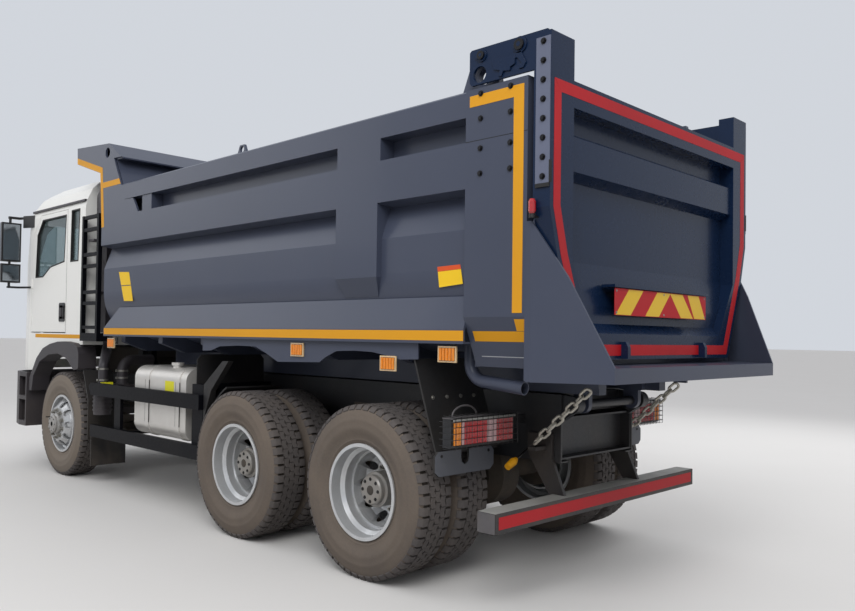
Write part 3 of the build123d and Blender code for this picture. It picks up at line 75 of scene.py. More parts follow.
class Tree:
    """A material with its shader nodes."""

    def __init__(self, name):
        self.material = bpy.data.materials.new(name)
        self.material.use_nodes = True
        self.tree = self.material.node_tree
        self.shader = self.tree.nodes["Principled BSDF"]
        self.coords = self.node("ShaderNodeTexCoord")

    def node(self, kind, **values):
        """New node; a value named in_X goes to its input X, any other to its own settings."""
        made = self.tree.nodes.new(kind)
        for key, value in values.items():
            if hasattr(made, key) and not key.startswith("in_"):
                setattr(made, key, value)
            else:
                made.inputs[key.replace("in_", "").replace("_", " ")].default_value = value
        return made

    def link(self, source, target):
        self.tree.links.new(source, target)

    def noise(self, scale, detail=4.0, rough=0.55, stretch=(1, 1, 1)):
        """Noise over the piece's own coordinates, in metres."""
        mapping = self.node("ShaderNodeMapping")
        mapping.inputs["Scale"].default_value = stretch
        self.link(self.coords.outputs["Object"], mapping.inputs["Vector"])
        noise = self.node("ShaderNodeTexNoise", in_Scale=scale, in_Detail=detail, in_Roughness=rough)
        self.link(mapping.outputs["Vector"], noise.inputs["Vector"])
        return noise.outputs["Fac"]

    def remap(self, value, low, high, out_low=0.0, out_high=1.0):
        """Value from low to high, stretched to the new range and clamped."""
        made = self.node("ShaderNodeMapRange")
        made.clamp = True
        ends = {"From Min": low, "From Max": high, "To Min": out_low, "To Max": out_high}
        for socket, number in ends.items():
            made.inputs[socket].default_value = number
        self.link(value, made.inputs["Value"])
        return made.outputs["Result"]

    def math(self, operation, a, b):
        """Result of an operation on two numbers or outputs."""
        made = self.node("ShaderNodeMath", operation=operation)
        for socket, value in zip(made.inputs, (a, b)):
            if isinstance(value, (int, float)):
                socket.default_value = value
            else:
                self.link(value, socket)
        return made.outputs[0]

    def mix(self, factor, a, b):
        """Colour between a and b."""
        made = self.node("ShaderNodeMix", data_type="RGBA")
        for socket, value in zip((made.inputs[0], made.inputs[6], made.inputs[7]), (factor, a, b)):
            if isinstance(value, (int, float)):
                socket.default_value = value
            elif isinstance(value, tuple):
                socket.default_value = (*value, 1.0)
            else:
                self.link(value, socket)
        return made.outputs[2]

    def position(self):
        """The piece's own coordinates, split into X, Y and Z."""
        split = self.node("ShaderNodeSeparateXYZ")
        self.link(self.coords.outputs["Object"], split.inputs[0])
        return split.outputs

    def height(self):
        """Height above the ground at rest."""
        return self.position()[2]

    def radius(self, centre_x):
        """Distance from a wheel's axle line."""
        position = self.position()
        dx = self.math("SUBTRACT", position[0], centre_x - CENTRE_X)
        dz = self.math("SUBTRACT", position[2], AXLE_Z)
        squares = self.math("ADD", self.math("MULTIPLY", dx, dx), self.math("MULTIPLY", dz, dz))
        return self.math("SQRT", squares, 0.0)

    def bump(self, value, strength, distance=0.002, corner=0.0):
        """Relief from a value, on edges rounded by the radius corner."""
        made = self.node("ShaderNodeBump", in_Strength=strength, in_Distance=distance)
        self.link(value, made.inputs["Height"])
        if corner:
            bevel = self.node("ShaderNodeBevel", samples=4, in_Radius=corner)
            self.link(bevel.outputs["Normal"], made.inputs["Normal"])
        self.link(made.outputs["Normal"], self.shader.inputs["Normal"])

    def put(self, socket, value):
        """Sets a constant on the shader, or links a value to it."""
        if isinstance(value, (int, float)):
            self.shader.inputs[socket].default_value = value
        elif isinstance(value, tuple):
            self.shader.inputs[socket].default_value = (*value, 1.0)
        else:
            self.link(value, self.shader.inputs[socket])


DUST = srgb(134, 120, 104)


def finish(name, colour, rough, metal=0.0, coat=0.0, vary=0.1, dust=0.25, dust_top=1.5, grain=0.15,
           grain_scale=90, stretch=(1, 1, 1), corner=0.003, patch=1.4, shine=0.5, spread=0.055):
    """Painted, cast or moulded surface: varied tone, dust that thins out upwards, and a fine texture."""
    t = Tree(name)
    tone = t.mix(t.remap(t.noise(patch, 5), 0.32, 0.68), scaled(colour, 1 - vary), scaled(colour, 1 + vary))
    fine = t.noise(grain_scale, 3, 0.6, stretch)
    low_down = t.remap(t.height(), 0.2, dust_top, 1.0, 0.12)
    specks = t.remap(t.noise(3.5, 5, 0.55), 0.36, 0.72)
    streaks = t.remap(t.noise(4, 4, 0.5, (1.0, 1.0, 0.14)), 0.4, 0.72)
    film = t.math("ADD", t.math("MULTIPLY", specks, 0.65), t.math("MULTIPLY", streaks, 0.35))
    settled = t.math("MULTIPLY", film, low_down)
    amount = t.math("MULTIPLY", settled, dust)
    t.put("Base Color", t.mix(amount, tone, DUST))
    base_rough = t.remap(fine, 0.3, 0.7, rough - spread, rough + spread)
    t.put("Roughness", t.math("ADD", base_rough, t.math("MULTIPLY", amount, 0.5)))
    t.put("Metallic", metal)
    t.put("Specular IOR Level", shine)
    t.put("Coat Weight", coat)
    t.put("Coat Roughness", 0.08)
    t.bump(fine, grain, 0.0012, corner)
    return t.material


def lens(name, colour, rough=0.12):
    """Moulded lamp lens with fine ribs."""
    t = Tree(name)
    ribs = t.noise(160, 2, 0.5, (1, 1, 0.2))
    t.put("Base Color", t.mix(t.remap(ribs, 0.3, 0.7), scaled(colour, 0.8), colour))
    t.put("Roughness", t.remap(ribs, 0.3, 0.7, rough, rough + 0.1))
    t.put("Coat Weight", 0.8)
    t.put("Coat Roughness", 0.05)
    t.bump(ribs, 0.3, 0.001)
    return t.material


def clear(name, tint, dirt):
    """Window glass with a faint film of dust."""
    t = Tree(name)
    film = t.remap(t.noise(2.2, 6, 0.6), 0.35, 0.75, 0.0, dirt)
    t.put("Base Color", t.mix(film, tint, (0.7, 0.72, 0.72)))
    t.put("Roughness", t.remap(t.noise(30, 3), 0.3, 0.7, 0.01, 0.05))
    t.put("Transmission Weight", 0.92)
    t.put("IOR", 1.45)
    return t.material


def wheel_paint(name, centre_x, hub_colour):
    """Silver wheel paint, a shaded well inside the rim, and a darker dusty hub."""
    t = Tree(name)
    r = t.radius(centre_x)
    grime = t.remap(t.noise(9, 8, 0.66), 0.4, 0.72)
    silver = t.mix(t.math("MULTIPLY", grime, 0.22), srgb(204, 206, 208), srgb(146, 138, 128))
    hub = t.mix(t.math("MULTIPLY", grime, 0.35), hub_colour, DUST)
    well = t.remap(r, 0.262, 0.285, 1.0, 0.0)
    shaded = t.mix(t.math("MULTIPLY", well, 0.16), silver, srgb(112, 108, 104))
    hub_edge = (0.112, 0.122)
    t.put("Base Color", t.mix(t.remap(r, *hub_edge, 1.0, 0.0), shaded, hub))
    t.put("Metallic", t.remap(r, *hub_edge, 0.2, 0.5))
    t.put("Roughness", t.remap(grime, 0.0, 1.0, 0.3, 0.5))
    t.bump(t.noise(120, 3), 0.12, 0.001, 0.002)
    return t.material


def rubber(name, colour, dusty, grain):
    """Tyre rubber with road dust in broad patches."""
    t = Tree(name)
    patches = t.remap(t.noise(3, 5, 0.55), 0.3, 0.7, 0.25, 0.7)
    fine = t.noise(70, 5, 0.65)
    dust = t.math("MULTIPLY", t.math("ADD", patches, t.remap(fine, 0.3, 0.75, 0.0, 0.25)), dusty)
    t.put("Base Color", t.mix(dust, colour, srgb(130, 117, 104)))
    t.put("Roughness", t.remap(dust, 0.0, 1.0, 0.72, 0.95))
    t.put("Specular IOR Level", 0.3)
    t.bump(fine, grain, 0.003)
    return t.material


def cloth(name, colour):
    """Woven seat cloth with a soft sheen."""
    t = Tree(name)
    weave = t.node("ShaderNodeTexWave", wave_type="BANDS", bands_direction="DIAGONAL", in_Scale=260.0,
                   in_Distortion=1.5)
    t.link(t.coords.outputs["Object"], weave.inputs["Vector"])
    t.put("Base Color", t.mix(weave.outputs["Fac"], scaled(colour, 0.6), scaled(colour, 1.35)))
    t.put("Roughness", 0.9)
    t.put("Sheen Weight", 0.4)
    t.bump(weave.outputs["Fac"], 0.4, 0.0008)
    return t.material


def brushed(name, colour, rough, direction, metal=0.85, dust=0.2):
    """Bare metal with drawn lines along one direction."""
    t = Tree(name)
    lines = t.noise(60, 4, 0.6, direction)
    marks = t.remap(t.noise(3, 7, 0.65), 0.4, 0.75)
    drawn = t.mix(lines, scaled(colour, 0.85), colour)
    t.put("Base Color", t.mix(t.math("MULTIPLY", marks, dust), drawn, DUST))
    t.put("Metallic", metal)
    base_rough = t.remap(lines, 0.3, 0.7, rough - 0.06, rough + 0.08)
    t.put("Roughness", t.math("ADD", base_rough, t.math("MULTIPLY", marks, 0.15)))
    t.bump(lines, 0.1, 0.001, 0.002)
    return t.material


SLATE = srgb(70, 76, 93)
# Tailgate paint: a deeper blue than the body, darkened further by painted shade for the tailgate's rear face
GATE_BLUE_AND_SHADE = srgb(18, 36, 64)
# Values shared by the large smooth sheets
SHEET = dict(coat=0.08, vary=0.03, dust=0.07, dust_top=2.2, grain=0.02, grain_scale=12, corner=0.0,
             shine=0.25, spread=0.01)

# Name, colour, roughness, further values
PAINTS = [
    ("body", SLATE, 0.32, SHEET),
    # the tailgate's blue, with painted shade in its colour
    ("gate", GATE_BLUE_AND_SHADE, 0.27, dict(SHEET, dust=0.03, vary=0.05, shine=0.2)),
    ("strip", srgb(104, 110, 130), 0.34, SHEET),
    ("white", srgb(250, 250, 246), 0.26, dict(SHEET, coat=0.0, vary=0.004, dust=0.03, shine=0.2)),
    ("chassis", srgb(27, 29, 34), 0.46, dict(vary=0.15, dust=0.24, dust_top=1.3, grain=0.25, grain_scale=60)),
    ("guard", srgb(9, 10, 16), 0.45, dict(vary=0.1, dust=0.03, grain=0.08, grain_scale=40, shine=0.1)),
    ("casting", srgb(52, 49, 47), 0.7, dict(metal=0.2, vary=0.2, dust=0.6, grain=0.6, grain_scale=45)),
    ("spring", srgb(74, 67, 61), 0.6, dict(metal=0.25, vary=0.2, dust=0.65, grain=0.4, grain_scale=50)),
    ("plastic", srgb(54, 51, 56), 0.5, dict(vary=0.08, dust=0.22, grain=0.35, grain_scale=320)),
    ("black", srgb(20, 20, 22), 0.4, dict(vary=0.1, dust=0.15, grain=0.2, grain_scale=200, corner=0.001)),
    ("seal", srgb(14, 14, 15), 0.6, dict(dust=0.1, grain=0.1, grain_scale=150, corner=0.001)),
    ("groove", srgb(16, 18, 22), 0.7, dict(dust=0.0, grain=0.05, corner=0.0)),
    ("flap", srgb(25, 25, 27), 0.62, dict(vary=0.15, dust=0.35, dust_top=1.2, grain=0.5, grain_scale=24)),
    ("yellow", srgb(226, 158, 0), 0.6, dict(vary=0.03, dust=0.04, grain=0.35, grain_scale=420, corner=0.0)),
    ("red", srgb(184, 10, 24), 0.6, dict(vary=0.1, dust=0.04, grain=0.35, grain_scale=420, corner=0.0)),
    ("lime", srgb(232, 226, 30), 0.5, dict(vary=0.03, dust=0.1, grain=0.05, corner=0.0)),
    ("label", srgb(250, 204, 16), 0.55, dict(vary=0.02, dust=0.02, grain=0.1, corner=0.0)),
    ("sign_yellow", srgb(240, 196, 30), 0.4,
     dict(vary=0.03, dust=0.08, grain=0.3, grain_scale=420, corner=0.0)),
    ("orange", srgb(222, 80, 20), 0.5, dict(vary=0.03, dust=0.08, grain=0.1, corner=0.0)),
    ("bolt", srgb(24, 24, 27), 0.32, dict(metal=0.4, dust=0.1, grain=0.1, corner=0.001)),
    ("zinc", srgb(150, 148, 142), 0.4, dict(metal=0.7, vary=0.2, dust=0.3, grain=0.2, corner=0.001)),
    ("worn", srgb(86, 84, 87), 0.5, dict(vary=0.2, dust=0.35, grain=0.3, grain_scale=35, patch=5)),
    ("dusty", srgb(160, 160, 156), 0.5, dict(vary=0.12, dust=0.2, grain=0.3, grain_scale=35, patch=5)),
    ("bar_face", srgb(40, 38, 40), 0.5, dict(vary=0.15, dust=0.3, grain=0.25, grain_scale=35)),
    ("tow", srgb(84, 88, 97), 0.45, dict(vary=0.08, dust=0.2, grain=0.1)),
    ("weld", srgb(176, 178, 184), 0.5, dict(metal=0.3, dust=0.1, grain=0.5, grain_scale=200, corner=0.0)),
    ("interior", srgb(118, 120, 124), 0.7, dict(vary=0.06, dust=0.0, grain=0.35, grain_scale=300)),
]
MATERIALS = {name: finish(f"{name}_paint", colour, rough, **values)
             for name, colour, rough, values in PAINTS}
MATERIALS.update({
    "tank": brushed("tank_aluminium", srgb(222, 219, 214), 0.36, (0.1, 6, 0.1), 0.5, 0.16),
    "rod": brushed("ground_steel", srgb(190, 192, 196), 0.2, (8, 8, 0.1), 1.0, 0.1),
    "chain": brushed("chain_zinc", srgb(206, 202, 190), 0.42, (1, 1, 1), 0.35, 0.25),
    "mirror": brushed("mirror_glass", srgb(150, 157, 164), 0.07, (1, 1, 1), 1.0, 0.05),
    "amber": lens("amber_lens", srgb(246, 146, 30)),
    "cream": lens("cream_lens", srgb(238, 208, 160)),
    "ruby": lens("red_lens", srgb(186, 26, 34)),
    "pale": lens("pale_lens", srgb(206, 168, 170)),
    "lamp": lens("clear_lens", srgb(212, 216, 220), 0.06),
    "glass": clear("window_glass", (0.42, 0.52, 0.53), 0.1),
    "sidewall": rubber("tyre_sidewall", srgb(86, 80, 76), 0.72, 0.3),
    "front_sidewall": rubber("front_tyre_sidewall", srgb(124, 117, 109), 0.72, 0.3),
    "tread": rubber("tyre_tread", srgb(74, 73, 76), 0.35, 0.6),
    "tread_base": rubber("tyre_groove", srgb(26, 24, 23), 0.25, 0.3),
    "cloth": cloth("seat_cloth", srgb(66, 70, 78)),
    "cloth_edge": cloth("seat_edge_cloth", srgb(40, 42, 47)),
})
WHEEL_PAINTS = {
    x: wheel_paint(f"wheel_paint_{label}", x, hub)
    for x, label, hub in ((FRONT_X, "front", srgb(158, 157, 155)), (MIDDLE_X, "middle", srgb(142, 139, 134)),
                          (REAR_X, "rear", srgb(142, 139, 135)))
}


# Mesh building
SHARP_ANGLE, BEVEL_ANGLE = radians(36), radians(40)


def place(axis, a, b, depth):
    """Point at a depth along an axis; a and b are its other two coordinates."""
    return {"x": (depth, a, b), "y": (a, depth, b), "z": (a, b, depth)}[axis]


def circle(centre, side, other, radius, sides):
    """Ring of points round a centre, in the plane of two directions."""
    turns = [2 * pi * i / sides for i in range(sides)]
    return [centre + (side * cos(a) + other * sin(a)) * radius for a in turns]


class Piece:
    """Parts gathered into one mesh with several finishes; m is the number of a part's finish."""

    def __init__(self, name, *finishes):
        self.name = name
        self.finishes = finishes
        self.verts = []
        self.faces = []
        self.slots = []

    def add(self, points, faces, m=0):
        """Adds points, and faces that count from the first of them."""
        base = len(self.verts)
        self.verts += [tuple(p) for p in points]
        self.faces += [[base + i for i in face] for face in faces]
        self.slots += [m] * len(faces)

    def box(self, x, y, z, m=0):
        """Block over the ranges x, y and z."""
        points = [(a, b, c) for a in x for b in y for c in z]
        walls = [(0, 1, 3, 2), (4, 6, 7, 5), (0, 4, 5, 1), (2, 3, 7, 6), (0, 2, 6, 4), (1, 5, 7, 3)]
        self.add(points, walls, m)

    def prism(self, outline, axis, low, high, m=0):
        """Plate with an outline across an axis, from low to high along it."""
        n = len(outline)
        points = [place(axis, a, b, low) for a, b in outline] + [place(axis, a, b, high) for a, b in outline]
        sides = [(i, (i + 1) % n, n + (i + 1) % n, n + i) for i in range(n)]
        self.add(points, [list(range(n)), list(range(2 * n - 1, n - 1, -1))] + sides, m)

    def band(self, inner, outer, axis, low, high, m=0):
        """Flat frame between two outlines with the same number of points."""
        n = len(inner)
        points = []
        for outline, depth in ((outer, low), (inner, low), (inner, high), (outer, high)):
            points += [place(axis, a, b, depth) for a, b in outline]
        faces = []
        for ring in range(4):
            for i in range(n):
                j = (i + 1) % n
                a, b = ring * n, ((ring + 1) % 4) * n
                faces.append((a + i, a + j, b + j, b + i))
        self.add(points, faces, m)

    def loops(self, rings, m=0, closed=False):
        """Skin over rings of points, closed on itself or with a cap at each end."""
        n = len(rings[0])
        points = [p for ring in rings for p in ring]
        faces = []
        for k in range(len(rings) if closed else len(rings) - 1):
            a, b = k * n, ((k + 1) % len(rings)) * n
            for i in range(n):
                j = (i + 1) % n
                faces.append((a + i, a + j, b + j, b + i))
        if not closed:
            faces += [list(range(n - 1, -1, -1)), [(len(rings) - 1) * n + i for i in range(n)]]
        self.add(points, faces, m)

    def rod(self, start, end, radius, m=0, sides=14, end_radius=None):
        """Straight rod, or a cone where the end has a radius of its own."""
        start, end = Vector(start), Vector(end)
        along = (end - start).normalized()
        side = along.orthogonal().normalized()
        other = along.cross(side)
        ends = ((start, radius), (end, radius if end_radius is None else end_radius))
        self.loops([circle(centre, side, other, r, sides) for centre, r in ends], m)

    def tube(self, path, radius, m=0, sides=10, closed=False):
        """Round wire along a path of points."""
        points = [Vector(p) for p in path]
        count = len(points)
        side = None
        rings = []
        for i, p in enumerate(points):
            before = points[i - 1] if closed or i else points[0]
            after = points[(i + 1) % count] if closed or i < count - 1 else points[-1]
            along = (after - before).normalized()
            side = along.orthogonal() if side is None else side - along * side.dot(along)
            side.normalize()
            other = along.cross(side)
            rings.append(circle(p, side, other, radius, sides))
        self.loops(rings, m, closed)

    def lathe(self, profile, centre, m=0, sides=32):
        """Closed (radius, y) profile turned about a line along Y."""
        cx, cy, cz = centre
        rings = []
        for i in range(sides):
            a = 2 * pi * i / sides
            rings.append([(cx + r * cos(a), cy + y, cz + r * sin(a)) for r, y in profile])
        self.loops(rings, m, closed=True)

    def bolt(self, at, normal, radius=0.014, height=0.01, m=0):
        """Washer and hexagonal head."""
        at, normal = Vector(at), Vector(normal).normalized()
        self.rod(at - normal * 0.002, at + normal * height * 0.3, radius * 1.45, m, 16)
        self.rod(at + normal * height * 0.3, at + normal * height, radius, m, 6)

    def mirror(self):
        """Adds the mirror image across the middle plane."""
        base = len(self.verts)
        self.verts += [(x, -y, z) for x, y, z in self.verts]
        self.faces += [[base + i for i in reversed(face)] for face in self.faces]
        self.slots += list(self.slots)
        return self

    def done(self, body, slot, bevel=0.0, flip=False, name=None):
        """Makes the mesh object, moved into the shared frame, and lets it ride on its body."""
        sign = -1 if flip else 1
        mesh = bpy.data.meshes.new(name or self.name)
        mesh.from_pydata([(x - CENTRE_X, sign * y, z) for x, y, z in self.verts], [], self.faces)
        for f in self.finishes:
            mesh.materials.append(MATERIALS[f])
        mesh.polygons.foreach_set("material_index", self.slots)
        work = bmesh.new()
        work.from_mesh(mesh)
        bmesh.ops.recalc_face_normals(work, faces=work.faces)
        work.to_mesh(mesh)
        work.free()
        mesh.shade_smooth()
        mesh.set_sharp_from_angle(angle=SHARP_ANGLE)
        obj = bpy.data.objects.new(name or self.name, mesh)
        bpy.context.scene.collection.objects.link(obj)
        if bevel:
            rounding = obj.modifiers.new("rounding", "BEVEL")
            rounding.width = bevel
            rounding.segments = 2
            rounding.limit_method = "ANGLE"
            rounding.angle_limit = BEVEL_ANGLE
        if body:
            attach(obj, body)
        return obj


# CAD nodes that wear each finish
FINISHED_NODES = {
    "casting": ("front_axle", "driven_axles", "left_knuckle", "right_knuckle", "tie_rod", "engine",
                "silencer"),
    "chassis": ("frame_rails", "cross_members", "subframe", "tail_lamps", "hoist_barrel"),
    "spring": ("springs",),
    "tank": ("fuel_tank",),
    "black": ("battery_box", "mirrors"),
    "plastic": ("air_intake", "wheel_arches", "bumper"),
    "guard": ("rear_rack", "side_guards"),
    "flap": ("mudguards",),
    "bar_face": ("underrun_bar",),
    "chain": ("chains",),
    "body": ("body_floor", "body_sides", "body_front_wall", "cab_guard", "floor_frame", "lifting_eyes"),
    "gate": ("tailgate",),
    "white": ("left_door", "right_door", "cab_roof", "cab_rear_wall", "cab_front", "cab_floor", "cab_sides"),
    "glass": ("left_door_glass", "right_door_glass", "cab_glass"),
    "interior": ("dashboard",),
    "cloth": ("seats",),
    "lamp": ("headlamps",),
    "rod": ("hoist_stage_1", "hoist_stage_2", "hoist_stage_3", "hoist_stage_4"),
}


def dress(names, material):
    """Gives CAD nodes their material."""
    for node in names:
        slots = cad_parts[node].data.materials
        slots.clear()
        slots.append(material)


for finish_name, names in FINISHED_NODES.items():
    dress(names, MATERIALS[finish_name])
for axle, x, ending, *_ in AXLES:
    dress([f"{axle}_{label}_rim{ending}" for _, label in SIDES], WHEEL_PAINTS[x])

# Tyres: carcass, then five rows of tread blocks with zig-zag grooves
BEAD_R, GROOVE_R = 0.2863, 0.524
# Each sidewall point is a radius and a half width
SIDE_PROFILE = [(BEAD_R, 0.102), (0.296, 0.112), (0.315, 0.118), (0.323, 0.1245), (0.333, 0.1235),
                (0.36, 0.136), (0.385, 0.146), (0.405, 0.1495), (0.412, 0.1475), (0.44, 0.1495),
                (0.452, 0.1495), (0.458, 0.1465), (0.482, 0.141), (0.505, 0.1325), (0.518, 0.124),
                (0.5275, 0.112)]
PITCHES = 52
TYRE_SIDES = 104


def tyre(piece, x, y):
    """Tyre whose middle is at x and y: carcass in finish 0, tread blocks in 1, groove floor in 2."""
    outer = SIDE_PROFILE + [(r, -w) for r, w in reversed(SIDE_PROFILE)]
    inner = [(BEAD_R, -0.072), (0.40, -0.112), (0.51, -0.1), (0.51, 0.1), (0.40, 0.112), (BEAD_R, 0.072)]
    profile = outer + inner

    def at(r, w, a):
        return (x + r * cos(a), y + w, AXLE_Z + r * sin(a))

    rings = []
    for i in range(TYRE_SIDES):
        a = 2 * pi * i / TYRE_SIDES
        rings.append([at(r, w, a) for r, w in profile])
    first = len(piece.faces)
    piece.loops(rings, 0, closed=True)
    n = len(profile)
    for k in range(first, len(piece.faces)):
        if (k - first) % n == len(SIDE_PROFILE) - 1:
            piece.slots[k] = 2
    step = 2 * pi / PITCHES
    half, zig = 0.0185, 0.0062
    # the three inner rows: middle across the tread, and phase along it
    for middle, phase in ((0.0, 0.0), (0.0435, 0.5), (-0.0435, 0.5)):
        for k in range(PITCHES):
            a0 = (k + phase) * step
            a2 = a0 + step * 0.94
            a1 = (a0 + a2) / 2
            flat = [(middle - half - zig, a0), (middle - half + zig, a1), (middle - half - zig, a2),
                    (middle + half - zig, a2), (middle + half + zig, a1), (middle + half - zig, a0)]
            points = [at(GROOVE_R, w, a) for w, a in flat]
            points += [at(TYRE_R - 0.0002, w * 0.985, a) for w, a in flat]
            walls = [(i, (i + 1) % 6, 6 + (i + 1) % 6, 6 + i) for i in range(6)]
            piece.add(points, [(0, 1, 2, 3, 4, 5), (11, 10, 9, 8, 7, 6)] + walls, 1)
    # the shoulder rows
    crown = TYRE_R - 0.0004
    for side in (1, -1):
        for k in range(PITCHES):
            a0 = (k + (0.25 if side > 0 else 0.75)) * step
            a2 = a0 + step * 0.74
            a1 = (a0 + a2) / 2
            rings = []
            for a, shift in ((a0, 0.0), (a1, zig), (a2, 0.0)):
                section = [(GROOVE_R, 0.066 + shift), (crown, 0.067 + shift), (crown, 0.1115),
                           (0.5345, 0.1225), (0.514, 0.1345), (0.505, 0.128)]
                rings.append([at(r, side * w, a) for r, w in section])
            piece.loops(rings, 1)


for axle, x, ending, middles, *_ in AXLES:
    for side, label in SIDES:
        node, body = f"{axle}_{label}_tyre{ending}", f"{axle}_{label}_wheel{ending}"
        rubber_name = "front_sidewall" if x == FRONT_X else "sidewall"
        piece = Piece(f"treaded_{node}", rubber_name, "tread", "tread_base")
        for y in middles:
            tyre(piece, x, side * y)
        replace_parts(piece.done(body, "tyre"), node)


# Wheel nuts, hub bolts, hub cap and valve
NUT_CIRCLE, HUB_CIRCLE = 0.142, 0.07
# Washer, nut and stud: foot and head off the disc, radius, sides, radius of the head
NUT_PARTS = [(-0.004, 0.006, 0.021, 18, 0.021), (0.006, 0.026, 0.0165, 6, 0.0165),
             (0.026, 0.04, 0.01, 12, 0.008)]


def wheel_details(name, body, x, side, face, hub_face):
    """Fittings of one wheel: nuts on the disc at y = face, bolts and cap on the hub at y = hub_face."""
    piece = Piece(name, "zinc", "bolt", "casting")
    y = side * face
    for k in range(10):
        a = 2 * pi * (k + 0.5) / 10
        cx, cz = x + NUT_CIRCLE * cos(a), AXLE_Z + NUT_CIRCLE * sin(a)
        for foot, head, r, sides, end_r in NUT_PARTS:
            piece.rod((cx, y + side * foot, cz), (cx, y + side * head, cz), r, 0, sides, end_r)
    for k in range(8):
        a = 2 * pi * k / 8
        cx, cz = x + HUB_CIRCLE * cos(a), AXLE_Z + HUB_CIRCLE * sin(a)
        piece.bolt((cx, side * (hub_face - 0.002), cz), (0, side, 0), 0.008, 0.008, 1)
    cap = [(0.0, 0.0), (0.03, 0.0), (0.03, 0.001), (0.024, 0.0048), (0.0, 0.0048)]
    piece.lathe([(r, side * (hub_face + out)) for r, out in cap], (x, 0, AXLE_Z), 2, 20)
    valve_y = side * (face + (0.02 if face < 1.0 else -0.03))
    tip = (x + 0.232, valve_y + side * 0.06, AXLE_Z + 0.052)
    piece.rod((x + 0.225, valve_y, AXLE_Z + 0.05), tip, 0.006, 1, 8)
    piece.done(body, "rim")


for side, label in SIDES:
    for axle, x, ending, _, face, hub_face in AXLES:
        body = f"{axle}_{label}_wheel{ending}"
        wheel_details(f"wheel_fittings_{axle}_{label}", body, x, side, face, hub_face)


# Chains: round-wire links turned a quarter turn from one to the next
def chain(name, side):
    """Chain from the frame up to the body's rear end."""
    low = Vector((-0.82, side * 0.545, 0.875))
    high = Vector((-1.196, side * 0.545, 1.216))
    line = high - low
    along = line.normalized()
    flat = along.cross(Vector((0, 0, 1))).normalized()
    piece = Piece(name, "chain")
    links = 8
    straight, turn, wire = 0.016, 0.0205, 0.0085
    for step in range(links):
        centre = low + line * ((step + 0.5) / links)
        tilt = radians(38 + (90 if step % 2 else 0))
        across = flat * cos(tilt) + along.cross(flat) * sin(tilt)
        path = []
        for k in range(20):
            a = 2 * pi * k / 20
            end = straight if cos(a) >= 0 else -straight
            path.append(centre + along * (end + turn * cos(a)) + across * (turn * sin(a)))
        piece.tube(path, wire, 0, 10, closed=True)
    return piece


for side, label in SIDES:
    links = chain(f"chain_{label}", side).done(None, "chain")
    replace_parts(links, "chains")
    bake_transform(links)

# Tipping body: yellow tape on sills, rear posts and cab guard, labels, weld lines and bolts
tape = Piece("body_tape", "yellow", "groove", "weld")
TAPE = 0.0012  # thickness of tape and labels
SIDE = 1.205  # outer face of sills and posts
tape.box((-0.8, 3.69), (SIDE, SIDE + TAPE), (1.492, 1.55))
tape.prism([(-0.828, 2.791), (-1.133, 2.791), (-1.136, 1.645), (-1.2, 1.645), (-1.2, 2.853), (-0.828, 2.853)],
           "y", SIDE, SIDE + TAPE)


def fold_patch(piece, x0, x1, z0, z1, depth, m=0):
    """Strip on the sheet that leans inwards below the rear post."""
    fold_top, lean_in, lean_down = 1.625, 0.12, 0.275
    points = []
    for out in (0.0, depth):
        for x, z in ((x0, z0), (x1, z0), (x1, z1), (x0, z1)):
            points.append((x, SIDE - (fold_top - z) * lean_in / lean_down + out, z))
    piece.add(points, [(0, 1, 2, 3), (7, 6, 5, 4), (0, 4, 5, 1), (1, 5, 6, 2), (2, 6, 7, 3), (3, 7, 4, 0)], m)


fold_patch(tape, -1.222, -0.84, 1.492, 1.548, TAPE)
fold_patch(tape, -1.214, -1.145, 1.55, 1.612, TAPE)
fold_patch(tape, -1.222, -0.86, 1.406, 1.411, 0.0015, 2)
tape.prism([(4.383, 3.212), (3.853, 3.053), (3.8, 2.515), (3.748, 2.52), (3.806, 3.098), (4.386, 3.272)],
           "y", 1.2, 1.2 + TAPE)
tape.prism([(3.79, 2.95), (3.452, 2.95), (3.42, 2.896), (3.785, 2.896)], "y", 1.2, 1.2 + TAPE)
tape.box((-1.2245, -0.8), (SIDE - 0.001, SIDE + 0.0004), (2.598, 2.602), 1)
tape.mirror().done("dump_body", "body")

# Blank labels on the hull's left flank
labels = Piece("hull_labels", "label", "orange")
HULL = 1.163  # the flank's face
for outline, m in (([(3.49, 2.077), (3.289, 2.068), (3.249, 1.95), (3.437, 1.95)], 0),
                   ([(3.434, 1.942), (3.246, 1.942), (3.199, 1.799), (3.376, 1.803)], 0),
                   ([(-0.56, 1.92), (-0.735, 1.926), (-0.741, 1.9), (-0.564, 1.892)], 1),
                   ([(-0.565, 1.891), (-0.7415, 1.899), (-0.757, 1.815), (-0.577, 1.8)], 0)):
    labels.prism(outline, "y", HULL, HULL + TAPE, m)
labels.done("dump_body", "body")

fasteners = Piece("body_bolts", "bolt")
for x in (-0.907, -1.112):
    for z in (2.856, 2.718, 2.553, 2.414):
        fasteners.bolt((x, SIDE, z), (0, 1, 0), 0.0115, 0.013)
fasteners.mirror().done("dump_body", "body")

# Closing plate round the hull's curve at its rear end, and cheeks that join the chute's wings to the posts
closing = Piece("rear_closing_plate", "body")
curve_y, curve_z, curve_r = 0.683, 1.9, 0.472
outline = [(0.0, 1.3675), (1.2035, 1.3675), (1.2035, curve_z)]
for k in range(13):
    a = pi / 2 * (1 - k / 12)
    outline.append((curve_y + curve_r * sin(a), curve_z - curve_r * cos(a)))
closing.prism(outline + [(0.0, 1.428)], "x", -1.2285, -1.2245)
closing.box((-1.262, -1.2245), (1.2045, 1.2165), (1.29, 2.12))
closing.mirror().done("dump_body", "body")

